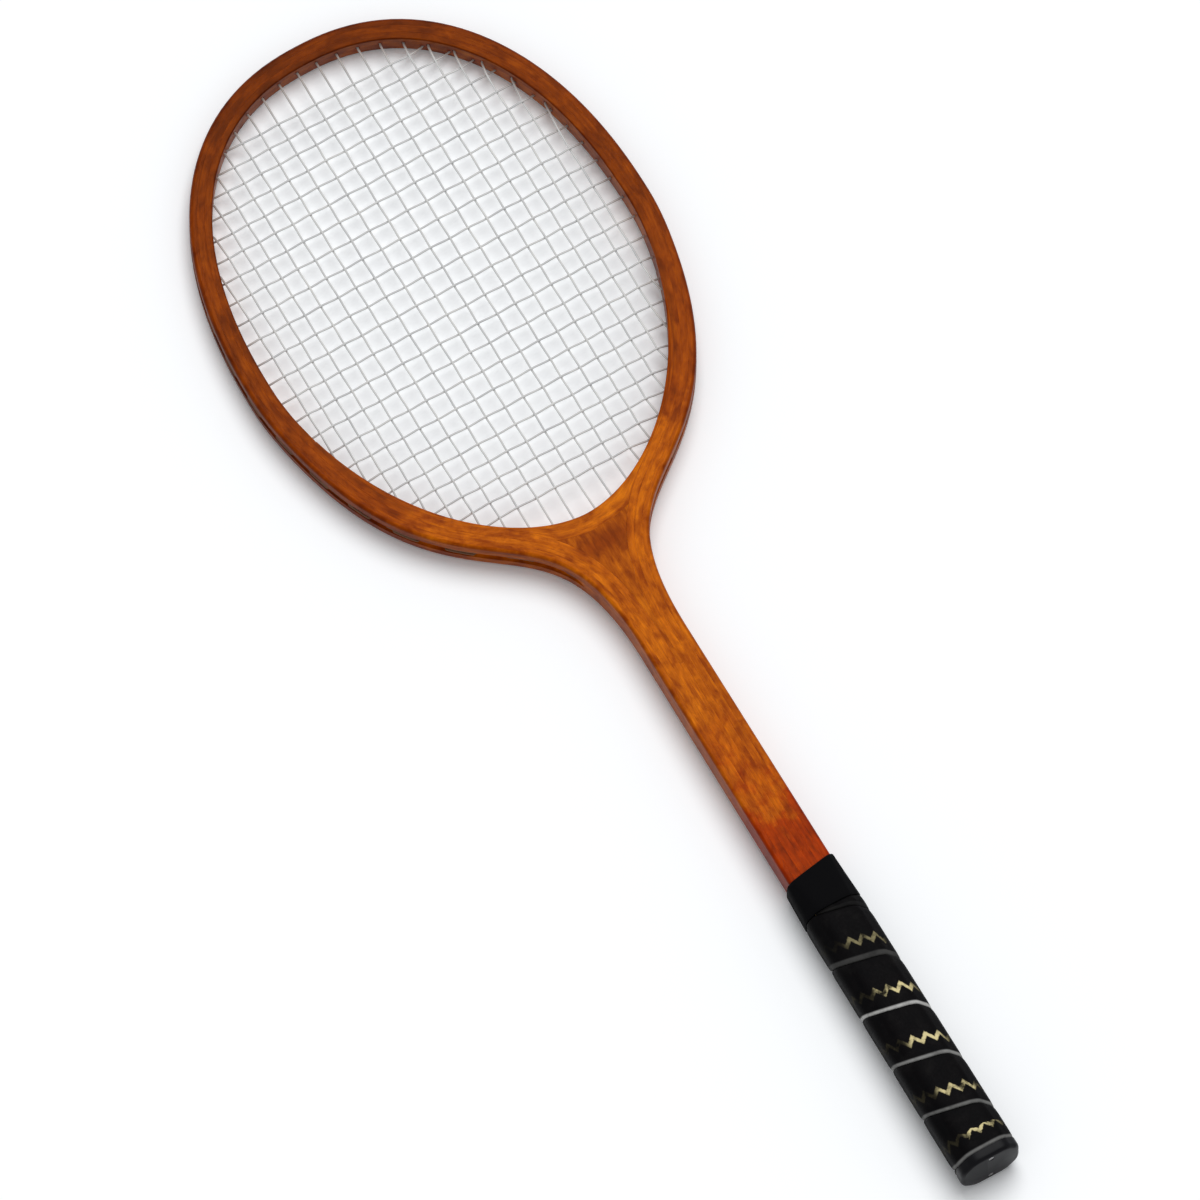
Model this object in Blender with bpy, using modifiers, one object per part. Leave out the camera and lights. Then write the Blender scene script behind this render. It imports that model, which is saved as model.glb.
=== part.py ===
"""A wooden tennis racket, laid flat: the butt face is at the origin, the head points along +Y,
the string bed lies in the plane z = 0 and the photographed face looks up, along +Z. Metres."""

import math

import bmesh
import bpy
import numpy as np
from mathutils import Matrix, Vector

# Fits
GLUE_GAP = 0.0003            # between any two pieces that touch

# Head and opening
OVERALL_LENGTH = 0.6858      # butt face to the outside of the crown, 27 inches
OPENING_WIDTH = 0.2034
OPENING_CROWN_DEPTH = 0.1428     # widest line of the opening up to its top
OPENING_THROAT_DEPTH = 0.1352    # widest line of the opening down to its bottom
CROWN_ROUNDNESS = 2.26       # exponent of the oval above the widest line, 2 is an ellipse
THROAT_ROUNDNESS = 1.82      # exponent of the oval below it

# Bow: bent plies that go round the head and run down both sides of the shaft
RIM_WIDTH = 0.0114
PLY_COUNT = 3
CROWN_THICKNESS = 0.0125
SHAFT_THICKNESS = 0.0180
SHAFT_WIDTH = 0.0258         # in the handle
SHAFT_WAIST = 0.0248         # below the shoulders
BOW_EDGE_ROUND = 0.0022
PARTING_SHARE = 0.16         # widest line down to where the bow leaves the opening, over its throat depth
SHOULDER_SHARE = 0.551       # opening down to the shaft's straight sides, over its throat depth
SHOULDER_UPPER_TENSION = 0.617   # handle of the shoulder curve at the head, over its chord
SHOULDER_LOWER_TENSION = 0.534   # handle of the shoulder curve at the shaft, over its chord
HEAD_STEPS = 23
SHOULDER_STEPS = 17

# Throat
ARCH_DEPTH = 0.0094          # throat arch, measured below the opening
ARCH_FEATHER = 0.0006        # thickness at which the arch's horns end
ARCH_STEPS = 40
WEDGE_LENGTH = 0.0926        # bottom of the opening down to the wedge's tip
WEDGE_STEPS = 14

# Strings
STRING_DIAMETER = 0.0013
MAIN_COUNT = 20
MAIN_FROM_SIDE = 0.0102      # side of the opening to the outermost main
MAIN_CROWDING = 0.12         # how much closer the outer mains stand
CROSS_COUNT = 23
CROSS_FROM_CROWN = 0.0190    # top of the opening to the highest cross
CROSS_FROM_THROAT = 0.0225   # bottom of the opening to the lowest cross
CROSS_CROWDING = 0.09
WEAVE_RISE = 0.00085         # string centre above or below the plane at a crossing
HOLE_SIDE = 0.0021
HOLE_STAGGER = 0.0013        # mains' holes above the plane, crosses' holes below it
BEND_OFF_RIM = 0.0015        # a string turns into its hole this far off the rim
GROOVE_DEPTH = 0.0017
GROOVE_WIDTH = 0.0050
GROOVE_POINTS = 70
GROOVE_END = 0.0050          # groove beyond the last hole
LONGEST_HOLE = 0.0254
THROAT_HOLE_STEP = 0.0085    # spacing of the splayed throat holes along the shoulder
LOOP_STEP = 0.0090           # longest straight run of a loop in the groove
STRING_TAIL = 0.0060

# Handle and grip
BUTT_CAP_LENGTH = 0.0055
BUTT_CAP_FLOOR = 0.0026
BUTT_CAP_ROUND = 0.0022
GRIP_TOP = 0.1548            # end of the wound strip
COLLAR_TOP = 0.1778          # end of the black collar on the shaft
GRIP_WIDTH = 0.0328          # across the grip at the butt, in the racket's plane
GRIP_THICKNESS = 0.0292      # across the grip at the butt, square to the racket's plane
GRIP_NARROWING = 0.0014      # loss of width from the butt to the top of the grip
GRIP_CORNER_CUT = 0.0070     # corner flat of the octagon, measured along a side
STRIP_THICKNESS = 0.0016
COLLAR_THICKNESS = 0.0008
COLLAR_CORNER_CUT = 0.0036
STRIP_PITCH = 0.0302
STRIP_SEAM = 0.0005
STRIP_START_TURN = 0.37
STRIP_LOOP_POINTS = 24
STRIP_POINT = 0.03           # part of a turn left off the strip's sharp ends
PALLET_LIP = 0.0003          # thickness of the pallets' feathered upper ends
PALLET_SHORT = 0.0020        # pallets end this far inside the collar

# Fasteners
NAIL_SHANK = 0.0010
NAIL_HEAD = 0.0030
NAIL_HEAD_HEIGHT = 0.0009
NAIL_LENGTH = 0.0140
NAIL_SPREAD = 0.0210         # between the two nails of the butt cap, one in each face pallet
TACK_SHANK = 0.0012
TACK_HEAD = 0.0046
TACK_HEAD_HEIGHT = 0.0006
TACK_DENT = 0.0005           # the head presses this far into the leather
TACK_BELOW_TOP = 0.0060      # tack below the top of the grip
TACK_BITE = 0.0016           # shank inside the wood
ROUND_SIDES = 12

WIDEST = OVERALL_LENGTH - RIM_WIDTH - OPENING_CROWN_DEPTH
OPENING_BOTTOM = WIDEST - OPENING_THROAT_DEPTH
PARTING_DROP = PARTING_SHARE * OPENING_THROAT_DEPTH
SHOULDER_LENGTH = SHOULDER_SHARE * OPENING_THROAT_DEPTH
OPENING_TOP = OVERALL_LENGTH - RIM_WIDTH
SHAFT_TOP = OPENING_BOTTOM - SHOULDER_LENGTH
WEDGE_TIP = OPENING_BOTTOM - WEDGE_LENGTH
MAIN_HALF_SPAN = OPENING_WIDTH / 2 - MAIN_FROM_SIDE
HIGHEST_CROSS = OPENING_TOP - CROSS_FROM_CROWN
LOWEST_CROSS = OPENING_BOTTOM + CROSS_FROM_THROAT
CORE_HALF_WIDTH = SHAFT_WIDTH / 2 - RIM_WIDTH
CORE_HALF_WAIST = SHAFT_WAIST / 2 - RIM_WIDTH
PLY_THICKNESS = (RIM_WIDTH - (PLY_COUNT - 1) * GLUE_GAP) / PLY_COUNT
WOOD_END = BUTT_CAP_FLOOR + GLUE_GAP
FLAT_HALF = SHAFT_THICKNESS / 2
STRING_RADIUS = STRING_DIAMETER / 2
LOOP_LINE = RIM_WIDTH - GROOVE_DEPTH + STRING_RADIUS + GLUE_GAP


# Scene
def clear_scene():
    for thing in list(bpy.data.objects):
        bpy.data.objects.remove(thing, do_unlink=True)


def new_collection(name):
    group = bpy.data.collections.new(name)
    bpy.context.scene.collection.children.link(group)
    return group


def new_material(name, colour, roughness, metallic=0.0):
    material = bpy.data.materials.new(name)
    material.use_nodes = True
    shader = material.node_tree.nodes["Principled BSDF"]
    shader.inputs["Base Color"].default_value = (*colour, 1.0)
    shader.inputs["Roughness"].default_value = roughness
    shader.inputs["Metallic"].default_value = metallic
    return material


def object_from(bm, name, material, group):
    """Turns a bmesh into a finished object with outward faces and smooth rounded parts."""
    bmesh.ops.recalc_face_normals(bm, faces=bm.faces)
    mesh = bpy.data.meshes.new(name)
    bm.to_mesh(mesh)
    bm.free()
    mesh.materials.append(material)
    mesh.shade_smooth()
    mesh.set_sharp_from_angle(angle=math.radians(35))
    thing = bpy.data.objects.new(name, mesh)
    group.objects.link(thing)
    return thing


def cutter_from(bm, name, material, group):
    cutter = object_from(bm, name, material, group)
    cutter.hide_render = True
    cutter.display_type = "WIRE"
    return cutter


def cut(thing, cutter):
    boolean = thing.modifiers.new(cutter.name, "BOOLEAN")
    boolean.object = cutter
    boolean.operation = "DIFFERENCE"
    boolean.solver = "EXACT"


# Outlines of the head
def opening_at(angle):
    """Point of the opening and its outward normal; the angle runs from 0 at the crown to pi."""
    power = CROWN_ROUNDNESS if angle <= math.pi / 2 else THROAT_ROUNDNESS
    depth = OPENING_CROWN_DEPTH if angle <= math.pi / 2 else OPENING_THROAT_DEPTH
    half = OPENING_WIDTH / 2
    across = max(math.sin(angle), 0.0)
    along = abs(math.cos(angle))
    side = 1.0 if angle <= math.pi / 2 else -1.0
    point = np.array([half * across ** (2 / power), WIDEST + side * depth * along ** (2 / power)])
    slope_x = across ** (2 - 2 / power) / half
    slope_y = side * along ** (2 - 2 / power) / depth
    normal = np.array([slope_x, slope_y])
    return point, normal / np.linalg.norm(normal)


def angle_at_height(height):
    """Angle at which the right side of the opening has this height below the widest line."""
    share = (WIDEST - height) / OPENING_THROAT_DEPTH
    return math.pi - math.acos(min(share ** (THROAT_ROUNDNESS / 2), 1.0))


def cubic(start, pull_1, pull_2, end, steps):
    t = np.linspace(0.0, 1.0, steps + 1)[:, None]
    u = 1 - t
    return u**3 * start + 3 * u * u * t * pull_1 + 3 * u * t * t * pull_2 + t**3 * end


def bow_inner_edge(head_steps, shoulder_steps):
    """Right half of the bow's inner edge, from the crown to the end of the handle's wood."""
    parting_angle = angle_at_height(WIDEST - PARTING_DROP)
    head = [opening_at(a)[0] for a in np.linspace(0.0, parting_angle, head_steps + 1)]
    parting, normal = opening_at(parting_angle)
    down = np.array([normal[1], -normal[0]])
    shaft = np.array([CORE_HALF_WAIST, SHAFT_TOP])
    chord = np.linalg.norm(parting - shaft)
    shoulder = cubic(
        parting,
        parting + down * SHOULDER_UPPER_TENSION * chord,
        shaft + np.array([0.0, SHOULDER_LOWER_TENSION * chord]),
        shaft,
        shoulder_steps,
    )
    handle = np.array([[CORE_HALF_WIDTH, COLLAR_TOP], [CORE_HALF_WIDTH, WOOD_END]])
    return np.vstack([np.array(head), shoulder[1:], handle])


def outward(path):
    """Outward normals of the right half of a path that runs from the crown to the butt."""
    lengths = np.linalg.norm(np.diff(path, axis=0), axis=1)[:, None]
    runs = np.diff(path, axis=0) / lengths
    ahead = np.vstack([np.array([[1.0, 0.0]]), runs])
    behind = np.vstack([runs, runs[-1:]])
    tangent = ahead + behind
    tangent[0] = (1.0, 0.0)
    tangent /= np.linalg.norm(tangent, axis=1)[:, None]
    return np.stack([-tangent[:, 1], tangent[:, 0]], axis=1)


def shifted(path, distance):
    """The path moved outward by a distance, square to itself."""
    moved = path + distance * outward(path)
    moved[0, 0] = 0.0
    return moved


FINE_PATH = bow_inner_edge(600, 400)
FINE_NORMALS = outward(FINE_PATH)
FINE_LENGTHS = np.concatenate([[0.0], np.cumsum(np.linalg.norm(np.diff(FINE_PATH, axis=0), axis=1))])


def bow_point(along, distance):
    """Point at a length along the bow's inner edge and a distance outside it; left is negative."""
    place = []
    for axis in (0, 1):
        edge = np.interp(abs(along), FINE_LENGTHS, FINE_PATH[:, axis])
        normal = np.interp(abs(along), FINE_LENGTHS, FINE_NORMALS[:, axis])
        place.append(edge + distance * normal)
    return np.array([math.copysign(place[0], along), place[1]])


def first_hit(start, direction, path):
    """Distance from start along direction to an open path, and the share of the path's points."""
    ends = np.diff(path, axis=0)
    away = path[:-1] - start
    cross = direction[0] * ends[:, 1] - direction[1] * ends[:, 0]
    cross = np.where(np.abs(cross) < 1e-12, 1e-12, cross)
    distance = (away[:, 0] * ends[:, 1] - away[:, 1] * ends[:, 0]) / cross
    share = (away[:, 0] * direction[1] - away[:, 1] * direction[0]) / cross
    good = (distance > 0) & (share >= 0) & (share <= 1)
    if not good.any():
        return math.inf, 0.0
    which = int(np.argmin(np.where(good, distance, math.inf)))
    return float(distance[which]), which + float(share[which])


def half_thickness(height):
    """The bow is planed thinner from the bottom of the opening to the crown."""
    share = (height - OPENING_BOTTOM) / (OVERALL_LENGTH - OPENING_BOTTOM)
    return FLAT_HALF + min(max(share, 0.0), 1.0) * (CROWN_THICKNESS / 2 - FLAT_HALF)


def both_sides(half):
    """A right half from the crown down, made whole with its mirror image."""
    left = half[:0:-1] * np.array([-1.0, 1.0])
    return np.vstack([left, half])


# Solids from outlines
def flat_mesh(outline, half):
    """A closed flat outline, filled and extruded to both sides of the racket's plane."""
    curve = bpy.data.curves.new("outline", "CURVE")
    curve.dimensions = "2D"
    curve.fill_mode = "BOTH"
    curve.extrude = half
    spline = curve.splines.new("POLY")
    spline.points.add(len(outline) - 1)
    for knot, (x, y) in zip(spline.points, outline):
        knot.co = (x, y, 0.0, 1.0)
    spline.use_cyclic_u = True
    guide = bpy.data.objects.new("outline", curve)
    bpy.context.scene.collection.objects.link(guide)
    graph = bpy.context.evaluated_depsgraph_get()
    mesh = bpy.data.meshes.new_from_object(guide.evaluated_get(graph))
    bm = bmesh.new()
    bm.from_mesh(mesh)
    bmesh.ops.remove_doubles(bm, verts=bm.verts, dist=1e-6)
    bpy.data.meshes.remove(mesh)
    bpy.data.objects.remove(guide)
    bpy.data.curves.remove(curve)
    return bm


def band_mesh(edge_a, edge_b):
    """Band between two edges of the outline, planed thinner toward the crown."""
    bm = flat_mesh(np.vstack([edge_a, edge_b[::-1]]), 1.0)
    for vert in bm.verts:
        vert.co.z = math.copysign(half_thickness(vert.co.y), vert.co.z)
    return bm


def weigh_edges(bm, outline):
    """Marks the long upper and lower edges on an outline for the Bevel modifier."""
    # Flat diagonals at the butt go, so that the bevel runs out square there.
    end = min(vert.co.y for vert in bm.verts) + 1e-6
    flat = [edge for edge in bm.edges if edge.calc_face_angle(1.0) < 0.001]
    bmesh.ops.dissolve_edges(bm, edges=[e for e in flat if min(v.co.y for v in e.verts) < end])
    weight = bm.edges.layers.float.new("bevel_weight_edge")
    on_outline = {(round(x, 5), round(y, 5)) for x, y in outline}
    for edge in bm.edges:
        ends = {(round(v.co.x, 5), round(v.co.y, 5)) for v in edge.verts}
        if len(ends) == 2 and ends <= on_outline and abs(edge.calc_face_angle(0.0)) > 1.0:
            edge[weight] = 1.0


def add_bevel(thing, width):
    bevel = thing.modifiers.new("rounded edge", "BEVEL")
    bevel.limit_method = "WEIGHT"
    bevel.width = width
    bevel.use_clamp_overlap = False
    bevel.segments = 1


def loft(rings, closed):
    """Skins rings of equally many points; closed joins the last ring to the first, as in a tube."""
    bm = bmesh.new()
    loops = [[bm.verts.new(p) for p in ring] for ring in rings]
    pairs = list(zip(loops, loops[1:]))
    if closed:
        pairs.append((loops[-1], loops[0]))
    else:
        bm.faces.new(loops[0])
        bm.faces.new(loops[-1])
    for first, second in pairs:
        count = len(first)
        for i in range(count):
            j = (i + 1) % count
            bm.faces.new((first[i], first[j], second[j], second[i]))
    return bm


def add_prism(bm, start, end, side):
    """Adds a square bar between two points, with two of its faces level."""
    axis = Vector(end) - Vector(start)
    level = Vector((0.0, 0.0, 1.0))
    across = axis.cross(level).normalized()
    turn = Matrix((across, axis.normalized(), level)).transposed().to_4x4()
    middle = (Vector(start) + Vector(end)) / 2
    size = Matrix.Diagonal((side, axis.length, side, 1.0))
    bmesh.ops.create_cube(bm, size=1.0, matrix=Matrix.Translation(middle) @ turn @ size)


# Stringing pattern
def spread(count, half_span, crowding):
    """Places from -half_span to half_span, a little closer together toward the ends."""
    shares = np.linspace(-1.0, 1.0, count)
    return half_span * ((1 + crowding) * shares - crowding * shares**3)


def bend_angle(axis, value, low, high):
    """Angle of the opening whose point just off the rim has this x (axis 0) or y (axis 1)."""

    def miss(angle):
        point, normal = opening_at(angle)
        return (point - BEND_OFF_RIM * normal)[axis] - value

    start = miss(low)
    for _ in range(60):
        middle = (low + high) / 2
        if (miss(middle) > 0) == (start > 0):
            low = middle
        else:
            high = middle
    return (low + high) / 2


def passage(angle):
    """Bend point off the rim and the length along the bow at which its hole comes out."""
    point, normal = opening_at(angle)
    loop_line = FINE_PATH + LOOP_LINE * FINE_NORMALS
    bend = point - BEND_OFF_RIM * normal
    distance, place = first_hit(bend, normal, loop_line)
    along = np.interp(place, np.arange(len(FINE_LENGTHS)), FINE_LENGTHS)
    return bend, distance, float(along)


def main_passages(places):
    """For each main its lower and upper passage; the middle ones splay out to the shoulders."""
    middle = len(places) // 2
    lower, upper = {}, {}
    last = 0.0
    for i in range(len(places) - 1, middle - 1, -1):
        top = passage(bend_angle(0, places[i], 0.0, math.pi / 2))
        bend, distance, along = passage(bend_angle(0, places[i], math.pi / 2, math.pi))
        if distance > LONGEST_HOLE:
            along = last + THROAT_HOLE_STEP
        last = along
        for number, side in ((i, 1.0), (len(places) - 1 - i, -1.0)):
            mirror = np.array([side, 1.0])
            lower[number] = (bend * mirror, side * along)
            upper[number] = (top[0] * mirror, side * top[2])
    return lower, upper


def cross_passages(places):
    """For each cross its left and right passage."""
    left, right = {}, {}
    for j, height in enumerate(places):
        bend, _, along = passage(bend_angle(1, height, 0.0, math.pi))
        right[j] = (bend, along)
        left[j] = (bend * np.array([-1.0, 1.0]), -along)
    return left, right


def inside_opening(x, y):
    """Whether a crossing lies clear of the rim."""
    power = CROWN_ROUNDNESS if y > WIDEST else THROAT_ROUNDNESS
    depth = OPENING_CROWN_DEPTH if y > WIDEST else OPENING_THROAT_DEPTH
    clear = 2 * BEND_OFF_RIM
    reach = abs(x / (OPENING_WIDTH / 2 - clear)) ** power + abs((y - WIDEST) / (depth - clear)) ** power
    return reach < 1.0


def hole_end(passage_at):
    return bow_point(passage_at[1], LOOP_LINE)


def loop_points(first, second, z):
    """Points of the loop in the groove between two holes, without its ends."""
    count = max(1, math.ceil(abs(second - first) / LOOP_STEP))
    shares = np.linspace(first, second, count + 1)[1:-1]
    return [(*bow_point(s, LOOP_LINE), z) for s in shares]


def woven_path(runs, z):
    """Joins runs of (entry passage, crossings, exit passage) into one string."""
    first, last = runs[0][0], runs[-1][2]
    inward = -math.copysign(STRING_TAIL, first[1])
    outward_tail = math.copysign(STRING_TAIL, last[1])
    points = [(*bow_point(first[1] + inward, LOOP_LINE), z)]
    for number, (entry, crossings, leave) in enumerate(runs):
        points.append((*hole_end(entry), z))
        points.append((*entry[0], z))
        points.extend(crossings)
        points.append((*leave[0], z))
        points.append((*hole_end(leave), z))
        if number + 1 < len(runs):
            points.extend(loop_points(leave[1], runs[number + 1][0][1], z))
    points.append((*bow_point(last[1] + outward_tail, LOOP_LINE), z))
    return points


def string_runs():
    """Runs of the mains and of the crosses, woven over and under each other in turn."""
    xs = spread(MAIN_COUNT, MAIN_HALF_SPAN, MAIN_CROWDING)
    middle = (HIGHEST_CROSS + LOWEST_CROSS) / 2
    ys = middle - spread(CROSS_COUNT, (HIGHEST_CROSS - LOWEST_CROSS) / 2, CROSS_CROWDING)
    lower, upper = main_passages(xs)
    left, right = cross_passages(ys)
    mains = []
    for i, x in enumerate(xs):
        marks = [(x, y, WEAVE_RISE * (-1) ** (i + j)) for j, y in enumerate(ys) if inside_opening(x, y)]
        down = i % 2 == 0
        ends = (upper[i], lower[i]) if down else (lower[i], upper[i])
        mains.append((ends[0], marks if down else marks[::-1], ends[1]))
    crosses = []
    for j, y in enumerate(ys):
        marks = [(x, y, -WEAVE_RISE * (-1) ** (i + j)) for i, x in enumerate(xs) if inside_opening(x, y)]
        rightward = j % 2 == 0
        ends = (left[j], right[j]) if rightward else (right[j], left[j])
        crosses.append((ends[0], marks if rightward else marks[::-1], ends[1]))
    return mains, crosses


def string_object(name, points, material, group):
    """A taut string as one round line through its points."""
    curve = bpy.data.curves.new(name, "CURVE")
    curve.dimensions = "3D"
    spline = curve.splines.new("POLY")
    spline.points.add(len(points) - 1)
    for knot, place in zip(spline.points, points):
        knot.co = (*place, 1.0)
    curve.bevel_depth = STRING_RADIUS
    curve.bevel_resolution = 0
    curve.use_fill_caps = True
    curve.materials.append(material)
    thing = bpy.data.objects.new(name, curve)
    group.objects.link(thing)
    return thing


# Octagonal sections of the handle
def octagon(half_width, half_depth, corner_cut, height):
    """Ring of eight points round the handle at a height above the butt."""
    ring = []
    for side_x, side_z in ((1, 1), (-1, 1), (-1, -1), (1, -1)):
        flat = (side_x * half_width, side_z * (half_depth - corner_cut))
        slant = (side_x * (half_width - corner_cut), side_z * half_depth)
        ordered = (flat, slant) if side_x * side_z > 0 else (slant, flat)
        ring += [(x, height, z) for x, z in ordered]
    return ring


def grip_section(height):
    """Half width, half depth and corner cut of the outside of the grip."""
    narrowing = GRIP_NARROWING / 2 * min(height / GRIP_TOP, 1.0)
    return GRIP_WIDTH / 2 - narrowing, GRIP_THICKNESS / 2 - narrowing, GRIP_CORNER_CUT


def shrunk(section, inset):
    """A section with every flat moved in by the same amount."""
    half_width, half_depth, corner_cut = section
    slack = inset * (2 - math.sqrt(2))
    return half_width - inset, half_depth - inset, corner_cut - slack


def collar_section(height):
    """Outside of the collar, from the grip's size down to the shaft's."""
    share = min(max((height - GRIP_TOP) / (COLLAR_TOP - GRIP_TOP), 0.0), 1.0)
    low = np.array(grip_section(GRIP_TOP))
    wall = COLLAR_THICKNESS + 2 * GLUE_GAP + PALLET_LIP
    high = np.array([SHAFT_WIDTH / 2 + wall, FLAT_HALF + wall, COLLAR_CORNER_CUT])
    return tuple(low + share * (high - low))


def wood_section(height):
    """Outside of the handle's wood, under the strip or the collar."""
    if height <= GRIP_TOP:
        return shrunk(grip_section(height), STRIP_THICKNESS + GLUE_GAP)
    share = (height - GRIP_TOP) / (COLLAR_TOP - GRIP_TOP)
    low = np.array(wood_section(GRIP_TOP))
    high = np.array(shrunk(collar_section(COLLAR_TOP), COLLAR_THICKNESS + GLUE_GAP))
    return tuple(low + share * (high - low))


PALLET_TOP = COLLAR_TOP - PALLET_SHORT
PALLET_HEIGHTS = (WOOD_END, GRIP_TOP, PALLET_TOP)


def face_pallet_ring(height, side):
    """Trapezium of the pallet on the front (side 1) or the back (side -1) of the shaft."""
    half_width, half_depth, corner_cut = wood_section(height)
    floor = FLAT_HALF + GLUE_GAP
    foot = half_width - (floor - (half_depth - corner_cut))
    crest = half_width - corner_cut
    ring = [(-foot, floor), (foot, floor), (crest, half_depth), (-crest, half_depth)]
    return [(x, height, side * z) for x, z in ring]


def side_pallet_ring(height, side):
    """Trapezium of the pallet on the right (side 1) or the left (side -1) of the shaft."""
    half_width, half_depth, corner_cut = wood_section(height)
    floor = SHAFT_WIDTH / 2 + GLUE_GAP
    foot = (half_depth - corner_cut) + (half_width - floor)
    crest = half_depth - corner_cut
    ring = [(floor, -foot), (floor, foot), (half_width, crest), (half_width, -crest)]
    return [(side * x, height, z) for x, z in ring]


# Grip strip
def octagon_loop(section, points_per_loop):
    """Points round an octagon, on its corners and evenly between them."""
    corners = [np.array([x, z]) for x, _, z in octagon(*section, 0.0)]
    loop = []
    per_side = points_per_loop // len(corners)
    for start, end in zip(corners, corners[1:] + corners[:1]):
        for k in range(per_side):
            loop.append(start + k / per_side * (end - start))
    return loop


def strip_column(step):
    """Four corners of the wound strip's section at a step round the handle."""
    turn = step / STRIP_LOOP_POINTS
    travelled = STRIP_PITCH * (turn - STRIP_START_TURN)
    bottom = BUTT_CAP_LENGTH + GLUE_GAP
    top = GRIP_TOP - GLUE_GAP
    upper = min(bottom + travelled - STRIP_SEAM, top)
    lower = max(bottom + travelled - STRIP_PITCH, bottom)
    corners = []
    for height, inset in ((lower, STRIP_THICKNESS), (lower, 0.0), (upper, 0.0), (upper, STRIP_THICKNESS)):
        loop = octagon_loop(shrunk(grip_section(height), inset), STRIP_LOOP_POINTS)
        x, z = loop[step % STRIP_LOOP_POINTS]
        corners.append((x, height, z))
    return corners


def strip_steps():
    """First and last step round the handle at which the strip has some width."""
    turns = (GRIP_TOP - BUTT_CAP_LENGTH - 2 * GLUE_GAP) / STRIP_PITCH + 1
    first = math.ceil((STRIP_START_TURN + STRIP_POINT) * STRIP_LOOP_POINTS)
    last = math.floor((STRIP_START_TURN + turns - STRIP_POINT) * STRIP_LOOP_POINTS)
    return range(first, last + 1)


def print_strip_gap():
    """Least distance between neighbouring turns of the strip, measured on its points."""
    columns = [strip_column(step) for step in strip_steps()]
    gaps = []
    for below, above in zip(columns, columns[STRIP_LOOP_POINTS:]):
        gaps.append(above[1][1] - below[2][1])
    print(f"least gap between the turns of the grip strip: {1000 * min(gaps):.2f} mm")


# Fasteners
def add_round(bm, diameter, start, end, sides=ROUND_SIDES):
    """Adds a capped cylinder between two points."""
    axis = Vector(end) - Vector(start)
    turn = axis.to_track_quat("Z", "Y").to_matrix().to_4x4()
    place = Matrix.Translation((Vector(start) + Vector(end)) / 2) @ turn
    bmesh.ops.create_cone(
        bm,
        cap_ends=True,
        segments=sides,
        radius1=diameter / 2,
        radius2=diameter / 2,
        depth=axis.length,
        matrix=place,
    )


def headed_pin(head_top, direction, head, head_height, shank, length):
    """A pin with a round head, turned as one piece about its own axis."""
    profile = [(0.0, 0.0), (head / 2, 0.0), (head / 2, head_height), (shank / 2, head_height)]
    profile += [(shank / 2, length - shank), (0.0, length)]
    turn = Vector(direction).to_track_quat("Z", "Y").to_matrix().to_4x4()
    bm = bmesh.new()
    verts = [bm.verts.new((r, 0.0, h)) for r, h in profile]
    edges = [bm.edges.new(pair) for pair in zip(verts, verts[1:])]
    bmesh.ops.spin(
        bm,
        geom=verts + edges,
        cent=(0.0, 0.0, 0.0),
        axis=(0.0, 0.0, 1.0),
        angle=2 * math.pi,
        steps=ROUND_SIDES,
        use_merge=True,
    )
    bmesh.ops.remove_doubles(bm, verts=bm.verts, dist=1e-6)
    bmesh.ops.transform(bm, matrix=Matrix.Translation(head_top) @ turn, verts=bm.verts)
    return bm


def nail_places():
    return [(0.0, GLUE_GAP, side * NAIL_SPREAD / 2) for side in (-1, 1)]


def tack_place():
    """Top of the tack's head, on the back of the grip."""
    height = GRIP_TOP - TACK_BELOW_TOP
    depth = grip_section(height)[1] - TACK_DENT + TACK_HEAD_HEIGHT
    return (0.0, height, -depth)


# Frame
def bow_ply(name, number, material, group):
    """A ply of the bow, counted from the opening outward; the outermost has rounded edges."""
    path = bow_inner_edge(HEAD_STEPS, SHOULDER_STEPS)
    depth = number * (PLY_THICKNESS + GLUE_GAP)
    edge_in = both_sides(shifted(path, depth))
    edge_out = both_sides(shifted(path, depth + PLY_THICKNESS))
    bm = band_mesh(edge_in, edge_out)
    outermost = number == PLY_COUNT - 1
    if outermost:
        weigh_edges(bm, edge_out)
    ply = object_from(bm, name, material, group)
    if outermost:
        add_bevel(ply, BOW_EDGE_ROUND)
    return ply


def arch_edges():
    """The opening's edge over the throat arch, and the arch's underside below it."""
    floor = FINE_PATH - GLUE_GAP * FINE_NORMALS
    upper, lower = [], []
    start = angle_at_height(WIDEST - PARTING_DROP)
    for angle in np.linspace(math.pi, start, ARCH_STEPS * 4):
        point, normal = opening_at(angle)
        distance = min(first_hit(point, normal, floor)[0], ARCH_DEPTH)
        if distance < ARCH_FEATHER:
            break
        upper.append(point)
        lower.append(point + distance * normal)
    picks = np.linspace(0, len(upper) - 1, ARCH_STEPS // 2 + 1).round().astype(int)
    return np.array(upper)[picks], np.array(lower)[picks]


def throat_arch(material, group):
    upper, lower = arch_edges()
    return object_from(band_mesh(both_sides(upper), both_sides(lower)), "throat_arch", material, group)


def wedge_outline():
    """Right half from the middle of the top to the middle of the tip, then its mirror image."""
    floor = FINE_PATH - GLUE_GAP * FINE_NORMALS
    top = []
    for angle in np.linspace(math.pi, math.pi / 2, 240):
        point, normal = opening_at(angle)
        place = point + (ARCH_DEPTH + GLUE_GAP) * normal
        if first_hit(point, normal, floor)[0] < ARCH_DEPTH + GLUE_GAP:
            break
        top.append(place)
    top = np.array(top)
    keep = np.linspace(0, len(top) - 1, 6).round().astype(int)
    heights = np.linspace(top[-1][1], WEDGE_TIP, WEDGE_STEPS)[1:]
    order = np.argsort(floor[:, 1])
    side = [(np.interp(h, floor[order, 1], floor[order, 0]), h) for h in heights]
    half = np.vstack([top[keep], np.array(side)])
    left = half[::-1] * np.array([-1.0, 1.0])
    return np.vstack([half, left[:-1]])


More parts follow.
